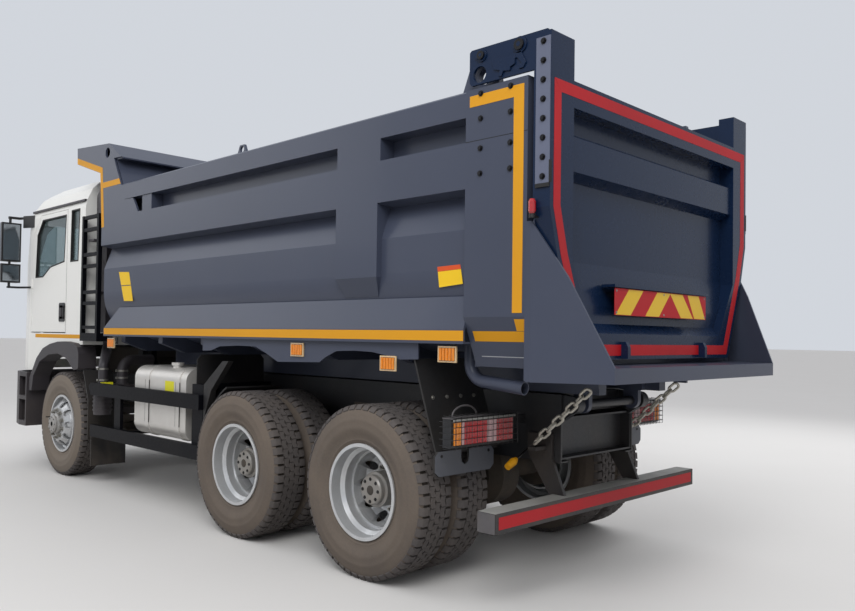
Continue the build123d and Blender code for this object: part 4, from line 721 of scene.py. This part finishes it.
# Tailgate: red tape frame, latch on the arms, striped plate, and bolted edge strips with marker lamps
gate = Piece("gate_tape", "red")
GATE_X = -1.376  # the gate's rear face
gate.prism([(0.0, 2.787), (1.124, 2.787), (1.186, 2.85), (0.0, 2.85)], "x", GATE_X - TAPE, GATE_X)
gate.prism([(1.186, 2.848), (1.186, 2.19), (1.112, 1.935), (0.902, 1.422), (0.0, 1.422), (0.0, 1.484),
            (0.858, 1.484), (1.054, 1.958), (1.124, 2.2), (1.124, 2.786)], "x", GATE_X - TAPE, GATE_X)
gate.mirror().done("tailgate", "gate")

latch = Piece("gate_latch", "gate", "bolt")
ARM = 1.217  # outer face of the gate's arms
lever = [(-0.995, 3.018), (-1.15, 3.008), (-1.15, 2.962), (-1.12, 2.952), (-1.12, 2.934), (-1.074, 2.94),
         (-1.062, 2.914), (-1.043, 2.916), (-1.052, 2.947), (-1.008, 2.962)]
latch.prism(lever, "y", ARM, ARM + 0.01)
latch.prism([(-1.13, 3.02), (-1.19, 3.02), (-1.222, 2.955), (-1.205, 2.93), (-1.175, 2.93), (-1.195, 2.955),
             (-1.165, 2.992), (-1.135, 2.99)], "y", ARM, ARM + 0.008)
for x, z, r in ((-0.921, 3.059, 0.034), (-1.18, 3.056, 0.044)):
    latch.rod((x, ARM - 0.001, z), (x, ARM + 0.008, z), r, 0, 28)
    latch.rod((x, ARM + 0.008, z), (x, ARM + 0.02, z), r * 0.68, 1, 24)
    latch.rod((x, ARM + 0.02, z), (x, ARM + 0.021, z), r * 0.3, 0, 12)
latch.mirror().done("tailgate", "gate", bevel=0.0015)

sign = Piece("striped_plate", "red", "sign_yellow", "gate", "zinc")
SIGN_X = -1.3925
left, right, low, high = 0.606, -0.54, 1.65, 1.802
middle = (left + right) / 2
sign.box((SIGN_X, SIGN_X + 0.003), (right, left), (low, high), 0)
# each yellow stripe: left and right edge at the foot, left and right edge at the head
for y0, y1, y2, y3 in ((0.595, 0.43, 0.45, 0.285), (0.26, 0.095, 0.115, -0.05),
                       (-0.19, -0.355, -0.045, -0.21), (-0.375, -0.53, -0.28, -0.435)):
    stripe = [(y0, low + 0.003), (y1, low + 0.003), (y3, high - 0.003), (y2, high - 0.003)]
    sign.prism(stripe, "x", SIGN_X - 0.0006, SIGN_X, 1)
for y in (left - 0.02, middle, right + 0.02):
    for z in (low + 0.015, high - 0.015):
        sign.bolt((SIGN_X, y, z), (-1, 0, 0), 0.005, 0.003, 3)
for y in (0.5, -0.44):
    sign.box((SIGN_X + 0.003, -1.345), (y - 0.02, y + 0.02), (1.66, 1.79), 2)
sign.done("tailgate", "gate")

strips = Piece("gate_edge_strips", "strip", "bolt", "seal", "ruby", "black")
strips.box((-1.374, -1.287), (1.217, 1.223), (2.305, 3.06), 0)
strips.box((-1.374, -1.29), (1.216, 1.227), (2.285, 2.305), 2)
strips.prism([(-1.374, 2.305), (-1.3775, 2.31), (-1.3775, 2.42), (-1.374, 2.42)], "y", 1.205, 1.227, 2)
for k in range(8):
    strips.bolt((-1.333, 1.223, 2.34 + 0.0995 * k), (0, 1, 0), 0.0115, 0.013, 1)
for z0, z1, r0, r1 in ((2.152, 2.165, 0.013, 0.02), (2.165, 2.215, 0.02, 0.02), (2.215, 2.229, 0.02, 0.012)):
    strips.rod((-1.282, 1.238, z0), (-1.282, 1.238, z1), r0, 3, 18, r1)
strips.rod((-1.282, 1.238, 2.13), (-1.282, 1.238, 2.152), 0.017, 4, 16)
strips.box((-1.3, -1.272), (1.19, 1.238), (2.134, 2.142), 4)
strips.mirror().done("tailgate", "gate")

# Side marker lamps under the body: five ribs in a pale moulded frame
markers = Piece("side_marker_lamps", "amber", "cream", "black")
for x, z in ((3.587, 1.364), (0.733, 1.364), (-0.66, 1.368), (-0.175, 1.3)):
    markers.box((x - 0.07, x + 0.07), (1.173, 1.183), (z, z + 0.093), 1)
    markers.box((x - 0.061, x + 0.061), (1.183, 1.184), (z + 0.009, z + 0.084), 2)
    for k in range(5):
        a = x - 0.049 + 0.0245 * k
        markers.rod((a, 1.183, z + 0.011), (a, 1.183, z + 0.082), 0.0105, 0, 12)
    markers.box((x - 0.02, x + 0.02), (1.1225, 1.174), (z + 0.04, z + 0.05), 2)
    markers.box((x - 0.02, x + 0.02), (1.121, 1.126), (z + 0.04, 1.474), 2)
markers.mirror().done("dump_body", "lamp_red")

# Tail lamps: ribbed lenses with a pale window, a hood with a pale lip, and a wire cage
tail = Piece("tail_lamp_lenses", "ruby", "amber", "pale", "black", "worn", "dusty")
LAMP = -0.7225  # just behind the housing's face
tail.box((LAMP - 0.004, LAMP), (0.645, 1.2), (0.89, 1.044), 3)
ribs = 24
for k in range(ribs):
    y = 1.192 - 0.54 * (k + 0.5) / ribs
    m = 1 if k < 3 else 2 if k == 3 or 13 <= k < 17 else 0
    tail.rod((LAMP - 0.004, y, 0.902), (LAMP - 0.004, y, 1.034), 0.0113, m, 10)
tail.box((LAMP - 0.02, -0.656), (0.64, 1.21), (1.05, 1.056), 4)
tail.box((LAMP - 0.02, LAMP - 0.016), (0.64, 1.21), (1.038, 1.056), 5)
cage_x, cage_wire = LAMP - 0.03, 0.0022
for z in (0.9, 0.935, 0.97, 1.005, 1.035):
    level_wire = [(-0.65, 1.225, z), (cage_x + 0.01, 1.225, z), (cage_x, 1.215, z), (cage_x, 0.63, z)]
    tail.tube(level_wire, cage_wire, 3, 6)
for k in range(13):
    y = 0.635 + 0.0475 * k
    hoop = [(-0.66, y, 0.876), (cage_x - 0.003, y, 0.88), (cage_x - 0.003, y, 1.062), (-0.66, y, 1.066)]
    tail.tube(hoop, cage_wire, 3, 6)
arch = [(-0.62, 0.974 + 0.11 * cos(pi * k / 10), 1.05 + 0.061 * sin(pi * k / 10)) for k in range(11)]
tail.tube(arch, 0.006, 4, 8)
tail.mirror().done("chassis", "lamp_red")

# Grey faces on the hanger plates under the rear mudguards, and the bolts of the sheets above
hanger = Piece("hanger_faces", "tow", "bolt", "zinc")
HANGER_X = -0.5834
outer_half = [(1.186, 0.73), (1.186, 0.82), (1.156, 0.848), (0.956, 0.848), (0.956, 0.8),
              (0.948, 0.77), (0.92, 0.755), (0.92, 0.702), (1.15, 0.702)]
inner_half = [(0.65, 0.73), (0.65, 0.82), (0.68, 0.848), (0.884, 0.848), (0.884, 0.8),
              (0.892, 0.77), (0.92, 0.755), (0.92, 0.702), (0.686, 0.702)]
for outline in (outer_half, inner_half):
    hanger.prism(outline, "x", HANGER_X, HANGER_X + TAPE)
for y in (0.7, 1.13):
    hanger.bolt((HANGER_X, y, 0.82), (-1, 0, 0), 0.007, 0.006, 1)
for y in (0.708, 0.832, 0.958, 1.084):
    hanger.bolt((-0.4636, y, 1.151), (-0.9475, 0, 0.3198), 0.009, 0.01, 2)
hanger.mirror().done("chassis", "steel")

# Underrun bar: red tape, a pale dusty top, scuffed ends and bolts
under = Piece("underrun_tape", "red", "bolt", "worn", "dusty")
under.box((-1.0161, -1.015), (-1.14, 1.14), (0.472, 0.54))
under.box((-1.012, -0.89), (-1.168, 1.168), (0.561, 0.5622), 3)
for y in (-1.1712, 1.17):
    under.box((-1.012, -0.89), (y, y + TAPE), (0.45, 0.559), 2)
for y in (-0.44, 0.44):
    for z in (0.47, 0.54):
        under.bolt((-0.888, y, z), (1, 0, 0), 0.012, 0.01, 1)
under.done("chassis", "steel")

# Yellow hook on its bar, over the underrun bar
hook = Piece("chain_hook", "yellow", "bolt")
hook.rod((-0.7, 0.66, 0.724), (-0.7, 0.6, 0.752), 0.021, 0, 14, 0.026)
hook.rod((-0.7, 0.6, 0.752), (-0.7, 0.572, 0.765), 0.026, 0, 14, 0.014)
hook.rod((-0.7, 0.575, 0.764), (-0.7, 0.44, 0.826), 0.007, 1, 8)
hook.done("chassis", "steel")

# Fittings on the left flank: hose clamps, blank labels and the edges of the tank's straps
flank = Piece("flank_fittings", "zinc", "lime", "black")
for x, y, z, r in ((4.0, 1.06, 1.03, 0.049), (4.0, 1.06, 1.14, 0.049),
                   (3.96, 0.88, 1.05, 0.0555), (3.96, 0.88, 1.12, 0.0555)):
    flank.rod((x, y, z), (x, y, z + 0.018), r, 0, 24)
    flank.box((x - 0.012, x + 0.012), (y + r - 0.002, y + r + 0.012), (z - 0.002, z + 0.02))
flank.box((2.5, 2.65), (1.125, 1.1262), (1.0, 1.1), 1)
flank.box((3.904, 3.9065), (1.0, 1.13), (0.948, 1.022), 1)
flank.box((3.9065, 3.93), (1.02, 1.1), (0.95, 1.01), 2)
for x in (2.43, 2.96):
    for edge in (x - 0.0335, x + 0.0315):
        flank.box((edge, edge + 0.002), (1.1255, 1.132), (0.72, 1.095), 2)
flank.done("chassis", "steel")

# Spray flaps bolted to the front of the side guards' rear arms
FLAP_BACK, FLAP_FRONT = 2.1405, 2.1475
for side, label, inner in ((1, "left", 0.46), (-1, "right", 0.86)):
    flap = Piece(f"spray_flap_{label}", "flap", "bolt")
    outline = [(inner, 0.5), (inner + 0.03, 0.47), (1.09, 0.47), (1.12, 0.5), (1.12, 1.3), (1.08, 1.34),
               (inner + 0.04, 1.34), (inner, 1.3)]
    flap.prism([(side * y, z) for y, z in outline], "x", FLAP_BACK, FLAP_FRONT)
    for y in (0.92, 1.05):
        for z in (0.58, 1.08):
            flap.bolt((FLAP_FRONT, side * y, z), (1, 0, 0), 0.01, 0.008, 1)
    flap.done("chassis", "dark_plastic")

# Cab: stripe, drip line and seals of the quarter windows
cab = Piece("cab_trim", "yellow", "plastic", "seal")
cab.box((4.36, 5.60), (1.12, 1.12 + TAPE), (1.442, 1.482), 0)
cab.box((4.36, 5.74), (1.104, 1.1275), (2.846, 2.868), 1)
quarter = [(4.69, 2.785), (4.48, 2.785), (4.5, 2.24), (4.7, 2.24)]
quarter_in = [(4.676, 2.771), (4.495, 2.771), (4.514, 2.254), (4.685, 2.254)]
cab.band(quarter_in, quarter, "y", 1.085, 1.123, 2)
cab.mirror()
cab.done("cab", "cab_white")

# Doors: window seals, and a handle in its dish
door_seal = Piece("door_trim", "seal", "black", "plastic")
opening = [(5.46, 2.752), (5.605, 2.59), (5.638, 2.11), (5.422, 2.11), (5.215, 2.208), (4.85, 2.25),
           (4.815, 2.752)]
inside = [(5.453, 2.738), (5.591, 2.585), (5.623, 2.124), (5.426, 2.124), (5.22, 2.222), (4.863, 2.263),
          (4.83, 2.738)]
door_seal.band(inside, opening, "y", 1.085, 1.1225, 0)
dish = [(4.82, 1.616), (4.942, 1.616), (4.956, 1.63), (4.956, 1.802), (4.942, 1.816), (4.82, 1.816),
        (4.806, 1.802), (4.806, 1.63)]
door_seal.prism(dish, "y", 1.119, 1.1268, 1)
door_seal.box((4.8355, 4.8725), (1.1395, 1.1545), (1.6455, 1.7865), 2)
for z0, z1 in ((1.6455, 1.6685), (1.7635, 1.7865)):
    door_seal.box((4.8355, 4.8725), (1.126, 1.1545), (z0, z1), 2)
door_seal.done("left_door", "dark_plastic")
door_seal.done("right_door", "dark_plastic", flip=True, name="door_trim_right")

# Painted shade of the door gap: a dark line in the seal finish along the foot and the rear edge of each door
gap_shade = Piece("door_gap_shade", "seal")
for outline in ([(4.7855, 1.5005), (5.7245, 1.5005), (5.7195, 1.5055), (4.7905, 1.5055)],
                [(4.7855, 2.7995), (4.7855, 1.5005), (4.7905, 1.5055), (4.7905, 2.7945)]):
    gap_shade.prism(outline, "y", 1.1192, 1.1203)
gap_shade.done("left_door", "dark_plastic")
gap_shade.done("right_door", "dark_plastic", flip=True, name="door_gap_shade_right")

# Dark panel behind the grille bars, bent to the nose
grille = Piece("grille_panel", "black")
nose = [(6.084, 0.85), (6.16, 0.56), (6.178, 0.2), (6.178, -0.2), (6.16, -0.56), (6.084, -0.85)]
grille.prism(nose + [(x - 0.006, y) for x, y in reversed(nose)], "z", 1.2, 1.7)
grille.done("cab", "dark_plastic")

# Dark panel and two slats behind the bumper's air slot
intake = Piece("bumper_panel", "black")
edge = [(6.245, 0.56), (6.262, 0.2), (6.262, -0.2), (6.245, -0.56)]
intake.prism(edge + [(x - 0.006, y) for x, y in reversed(edge)], "z", 0.54, 0.74)
slat = [(x + 0.02, y) for x, y in edge] + [(x - 0.002, y) for x, y in reversed(edge)]
for z in (0.61, 0.66):
    intake.prism(slat, "z", z, z + 0.012)
intake.done("chassis", "dark_plastic")

wipers = Piece("wipers", "black")
for y0, y1 in ((0.25, 0.86), (-0.45, 0.2)):
    wipers.rod((6.19, y0, 1.87), (6.1, (y0 + y1) / 2, 2.05), 0.008, 0, 8)
wipers.done("cab", "dark_plastic")

mirror_glass = Piece("mirror_glass", "mirror")
for z0, z1 in ((2.318, 2.722), (2.078, 2.254)):
    mirror_glass.box((5.8865, 5.8905), (1.214, 1.39), (z0, z1))
mirror_glass.mirror().done("cab", "dark_plastic")


# Seats: crowned cushions with sewn channels
BASE_TILT, BACK_TILT = -0.05, radians(-97)


def cushion(piece, centre, size, tilt, crown, channels, m=0, n=14):
    """Rounded block whose top swells between its seams; size is half lengths along the block's own axes."""
    turn = Matrix.Rotation(tilt, 3, "Y")
    grid = {}
    points, faces = [], []

    def corner(u, v, w):
        key = (round(u, 4), round(v, 4), round(w, 4))
        if key not in grid:
            norm = (abs(u) ** 5 + abs(v) ** 5 + abs(w) ** 5) ** 0.2
            k = max(abs(u), abs(v), abs(w)) / norm
            a, b, c = u * k, v * k, w * k
            swell = crown * (1 - a * a) * (1 - b * b)
            for place_v in channels:
                swell -= 0.35 * crown * max(0.0, 1 - abs(b - place_v) / 0.09)
            c += (swell / size[2]) * (1 if w > 0 else 0.25) * c
            local = turn @ Vector((a * size[0], b * size[1], c * size[2]))
            grid[key] = len(points)
            points.append(Vector(centre) + local)
        return grid[key]

    steps = [-1 + 2 * i / n for i in range(n + 1)]
    for axis in range(3):
        for end in (-1, 1):
            for i in range(n):
                for j in range(n):
                    quad = []
                    for p, q in ((i, j), (i + 1, j), (i + 1, j + 1), (i, j + 1)):
                        uvw = [steps[p], steps[q]]
                        uvw.insert(axis, end)
                        quad.append(corner(*uvw))
                    faces.append(quad)
    piece.add(points, faces, m)


for side, label in SIDES:
    y = 0.56 * side
    seat = Piece(f"seat_{label}", "cloth", "cloth_edge", "black")
    cushion(seat, (5.06, y, 1.795), (0.235, 0.2, 0.06), BASE_TILT, 0.02, (-0.5, 0.5))
    for across in (0.2, -0.2):
        cushion(seat, (5.06, y + across, 1.8), (0.23, 0.035, 0.064), BASE_TILT, 0.006, (), 1, 8)
    cushion(seat, (4.87, y, 2.17), (0.3, 0.185, 0.055), BACK_TILT, 0.016, (-0.5, 0.5))
    for across in (0.19, -0.19):
        cushion(seat, (4.875, y + across, 2.15), (0.27, 0.032, 0.058), BACK_TILT, 0.005, (), 1, 8)
    cushion(seat, (4.825, y, 2.57), (0.088, 0.12, 0.036), BACK_TILT, 0.01, (), 0, 10)
    seat.box((4.89, 5.21), (y - 0.165, y + 0.165), (1.4505, 1.735), 2)
    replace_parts(seat.done("cab", "seat"), "seats")



# Floor, light and camera
def eye_rays(nodes, links):
    """1 for rays from the camera, straight or by a mirror or pane, and 0 for lighting."""
    path = nodes.new("ShaderNodeLightPath")
    seen = path.outputs["Is Camera Ray"]
    for ray in ("Is Glossy Ray", "Is Transmission Ray"):
        either = nodes.new("ShaderNodeMath")
        either.operation = "MAXIMUM"
        links.new(seen, either.inputs[0])
        links.new(path.outputs[ray], either.inputs[1])
        seen = either.outputs[0]
    return seen


# Floor: pale where it is seen, darker for the light that it throws back
ground = bpy.data.meshes.new("floor")
reach = 160
corners = [(-reach, -reach, 0), (reach, -reach, 0), (reach, reach, 0), (-reach, reach, 0)]
ground.from_pydata(corners, [], [(0, 1, 2, 3)])
floor_tree = Tree("floor_finish")
floor_pale = floor_tree.mix(floor_tree.noise(0.6, 6), (0.76, 0.75, 0.73), (0.8, 0.79, 0.775))
floor_seen = eye_rays(floor_tree.tree.nodes, floor_tree.tree.links)
floor_tree.put("Base Color", floor_tree.mix(floor_seen, (0.4, 0.39, 0.375), floor_pale))
floor_tree.put("Roughness", 0.75)
ground.materials.append(floor_tree.material)
floor = bpy.data.objects.new("floor", ground)
bpy.context.scene.collection.objects.link(floor)

# World: soft light that is brighter from above, and a plain pale backdrop where it is seen
world = bpy.data.worlds.new("studio")
bpy.context.scene.world = world
world.use_nodes = True
nodes, links = world.node_tree.nodes, world.node_tree.links
backdrop = nodes["Background"]
backdrop.inputs["Color"].default_value = (0.64, 0.67, 0.72, 1)
backdrop.inputs["Strength"].default_value = 1.0
light = nodes.new("ShaderNodeBackground")
light.inputs["Strength"].default_value = 0.92
sky = nodes.new("ShaderNodeTexGradient")
sky_coords = nodes.new("ShaderNodeTexCoord")
sky_map = nodes.new("ShaderNodeMapping")
sky_map.inputs["Rotation"].default_value = (0, radians(90), 0)
sky_ramp = nodes.new("ShaderNodeValToRGB")
sky_ramp.color_ramp.elements[0].color = (0.46, 0.46, 0.48, 1)
sky_ramp.color_ramp.elements[1].color = (0.84, 0.84, 0.86, 1)
links.new(sky_coords.outputs["Generated"], sky_map.inputs["Vector"])
links.new(sky_map.outputs["Vector"], sky.inputs["Vector"])
links.new(sky.outputs["Color"], sky_ramp.inputs["Fac"])
links.new(sky_ramp.outputs["Color"], light.inputs["Color"])
choose = nodes.new("ShaderNodeMixShader")
links.new(eye_rays(nodes, links), choose.inputs["Fac"])
links.new(light.outputs["Background"], choose.inputs[1])
links.new(backdrop.outputs["Background"], choose.inputs[2])
links.new(choose.outputs["Shader"], nodes["World Output"].inputs["Surface"])

# Lamps: name, place, size, power
LAMPS = [("key", (-7.0, 7.5, 8.5), 6.0, 600), ("fill", (7.0, 6.0, 6.0), 6.0, 130),
         ("back", (-2.0, -9.0, 7.0), 7.0, 260)]
AIM = Vector((0, 0, 1.4))
for name, at, size, power in LAMPS:
    data = bpy.data.lights.new(name, "AREA")
    data.energy = power
    data.size = size
    lamp = bpy.data.objects.new(name, data)
    lamp.location = at
    lamp.rotation_euler = (AIM - Vector(at)).to_track_quat("-Z", "Y").to_euler()
    lamp.visible_glossy = name != "back"  # its highlight would burn out the roof's top
    bpy.context.scene.collection.objects.link(lamp)

# Camera, solved from the photograph: picture size, focal length and optical centre in pixels
IMAGE_W, IMAGE_H = 855, 611
FOCAL = 806.5312
OPTIC_U, OPTIC_V = 401.7835, 318.6260
EYE = (-3.7341, 4.6179, 1.5136)
SENSOR = 36.0
yaw, pitch, roll = radians(-44.9451), radians(1.2538), radians(0.8413)
ahead = Vector((cos(pitch) * cos(yaw), cos(pitch) * sin(yaw), sin(pitch)))
level = ahead.cross(Vector((0, 0, 1))).normalized()
upright = level.cross(ahead)
right_axis = cos(roll) * level + sin(roll) * upright
up_axis = -sin(roll) * level + cos(roll) * upright
camera_data = bpy.data.cameras.new("camera")
camera_data.sensor_width = SENSOR
camera_data.lens = FOCAL / IMAGE_W * SENSOR
camera_data.shift_x = (IMAGE_W / 2 - OPTIC_U) / IMAGE_W
camera_data.shift_y = (OPTIC_V - IMAGE_H / 2) / IMAGE_W
camera_data.clip_end = 600
camera = bpy.data.objects.new("camera", camera_data)
turned = Matrix((right_axis, up_axis, -ahead)).transposed().to_4x4()
camera.matrix_world = Matrix.Translation((EYE[0] - CENTRE_X, EYE[1], EYE[2])) @ turned
bpy.context.scene.collection.objects.link(camera)
bpy.context.scene.camera = camera
bpy.context.scene.view_settings.view_transform = "Standard"
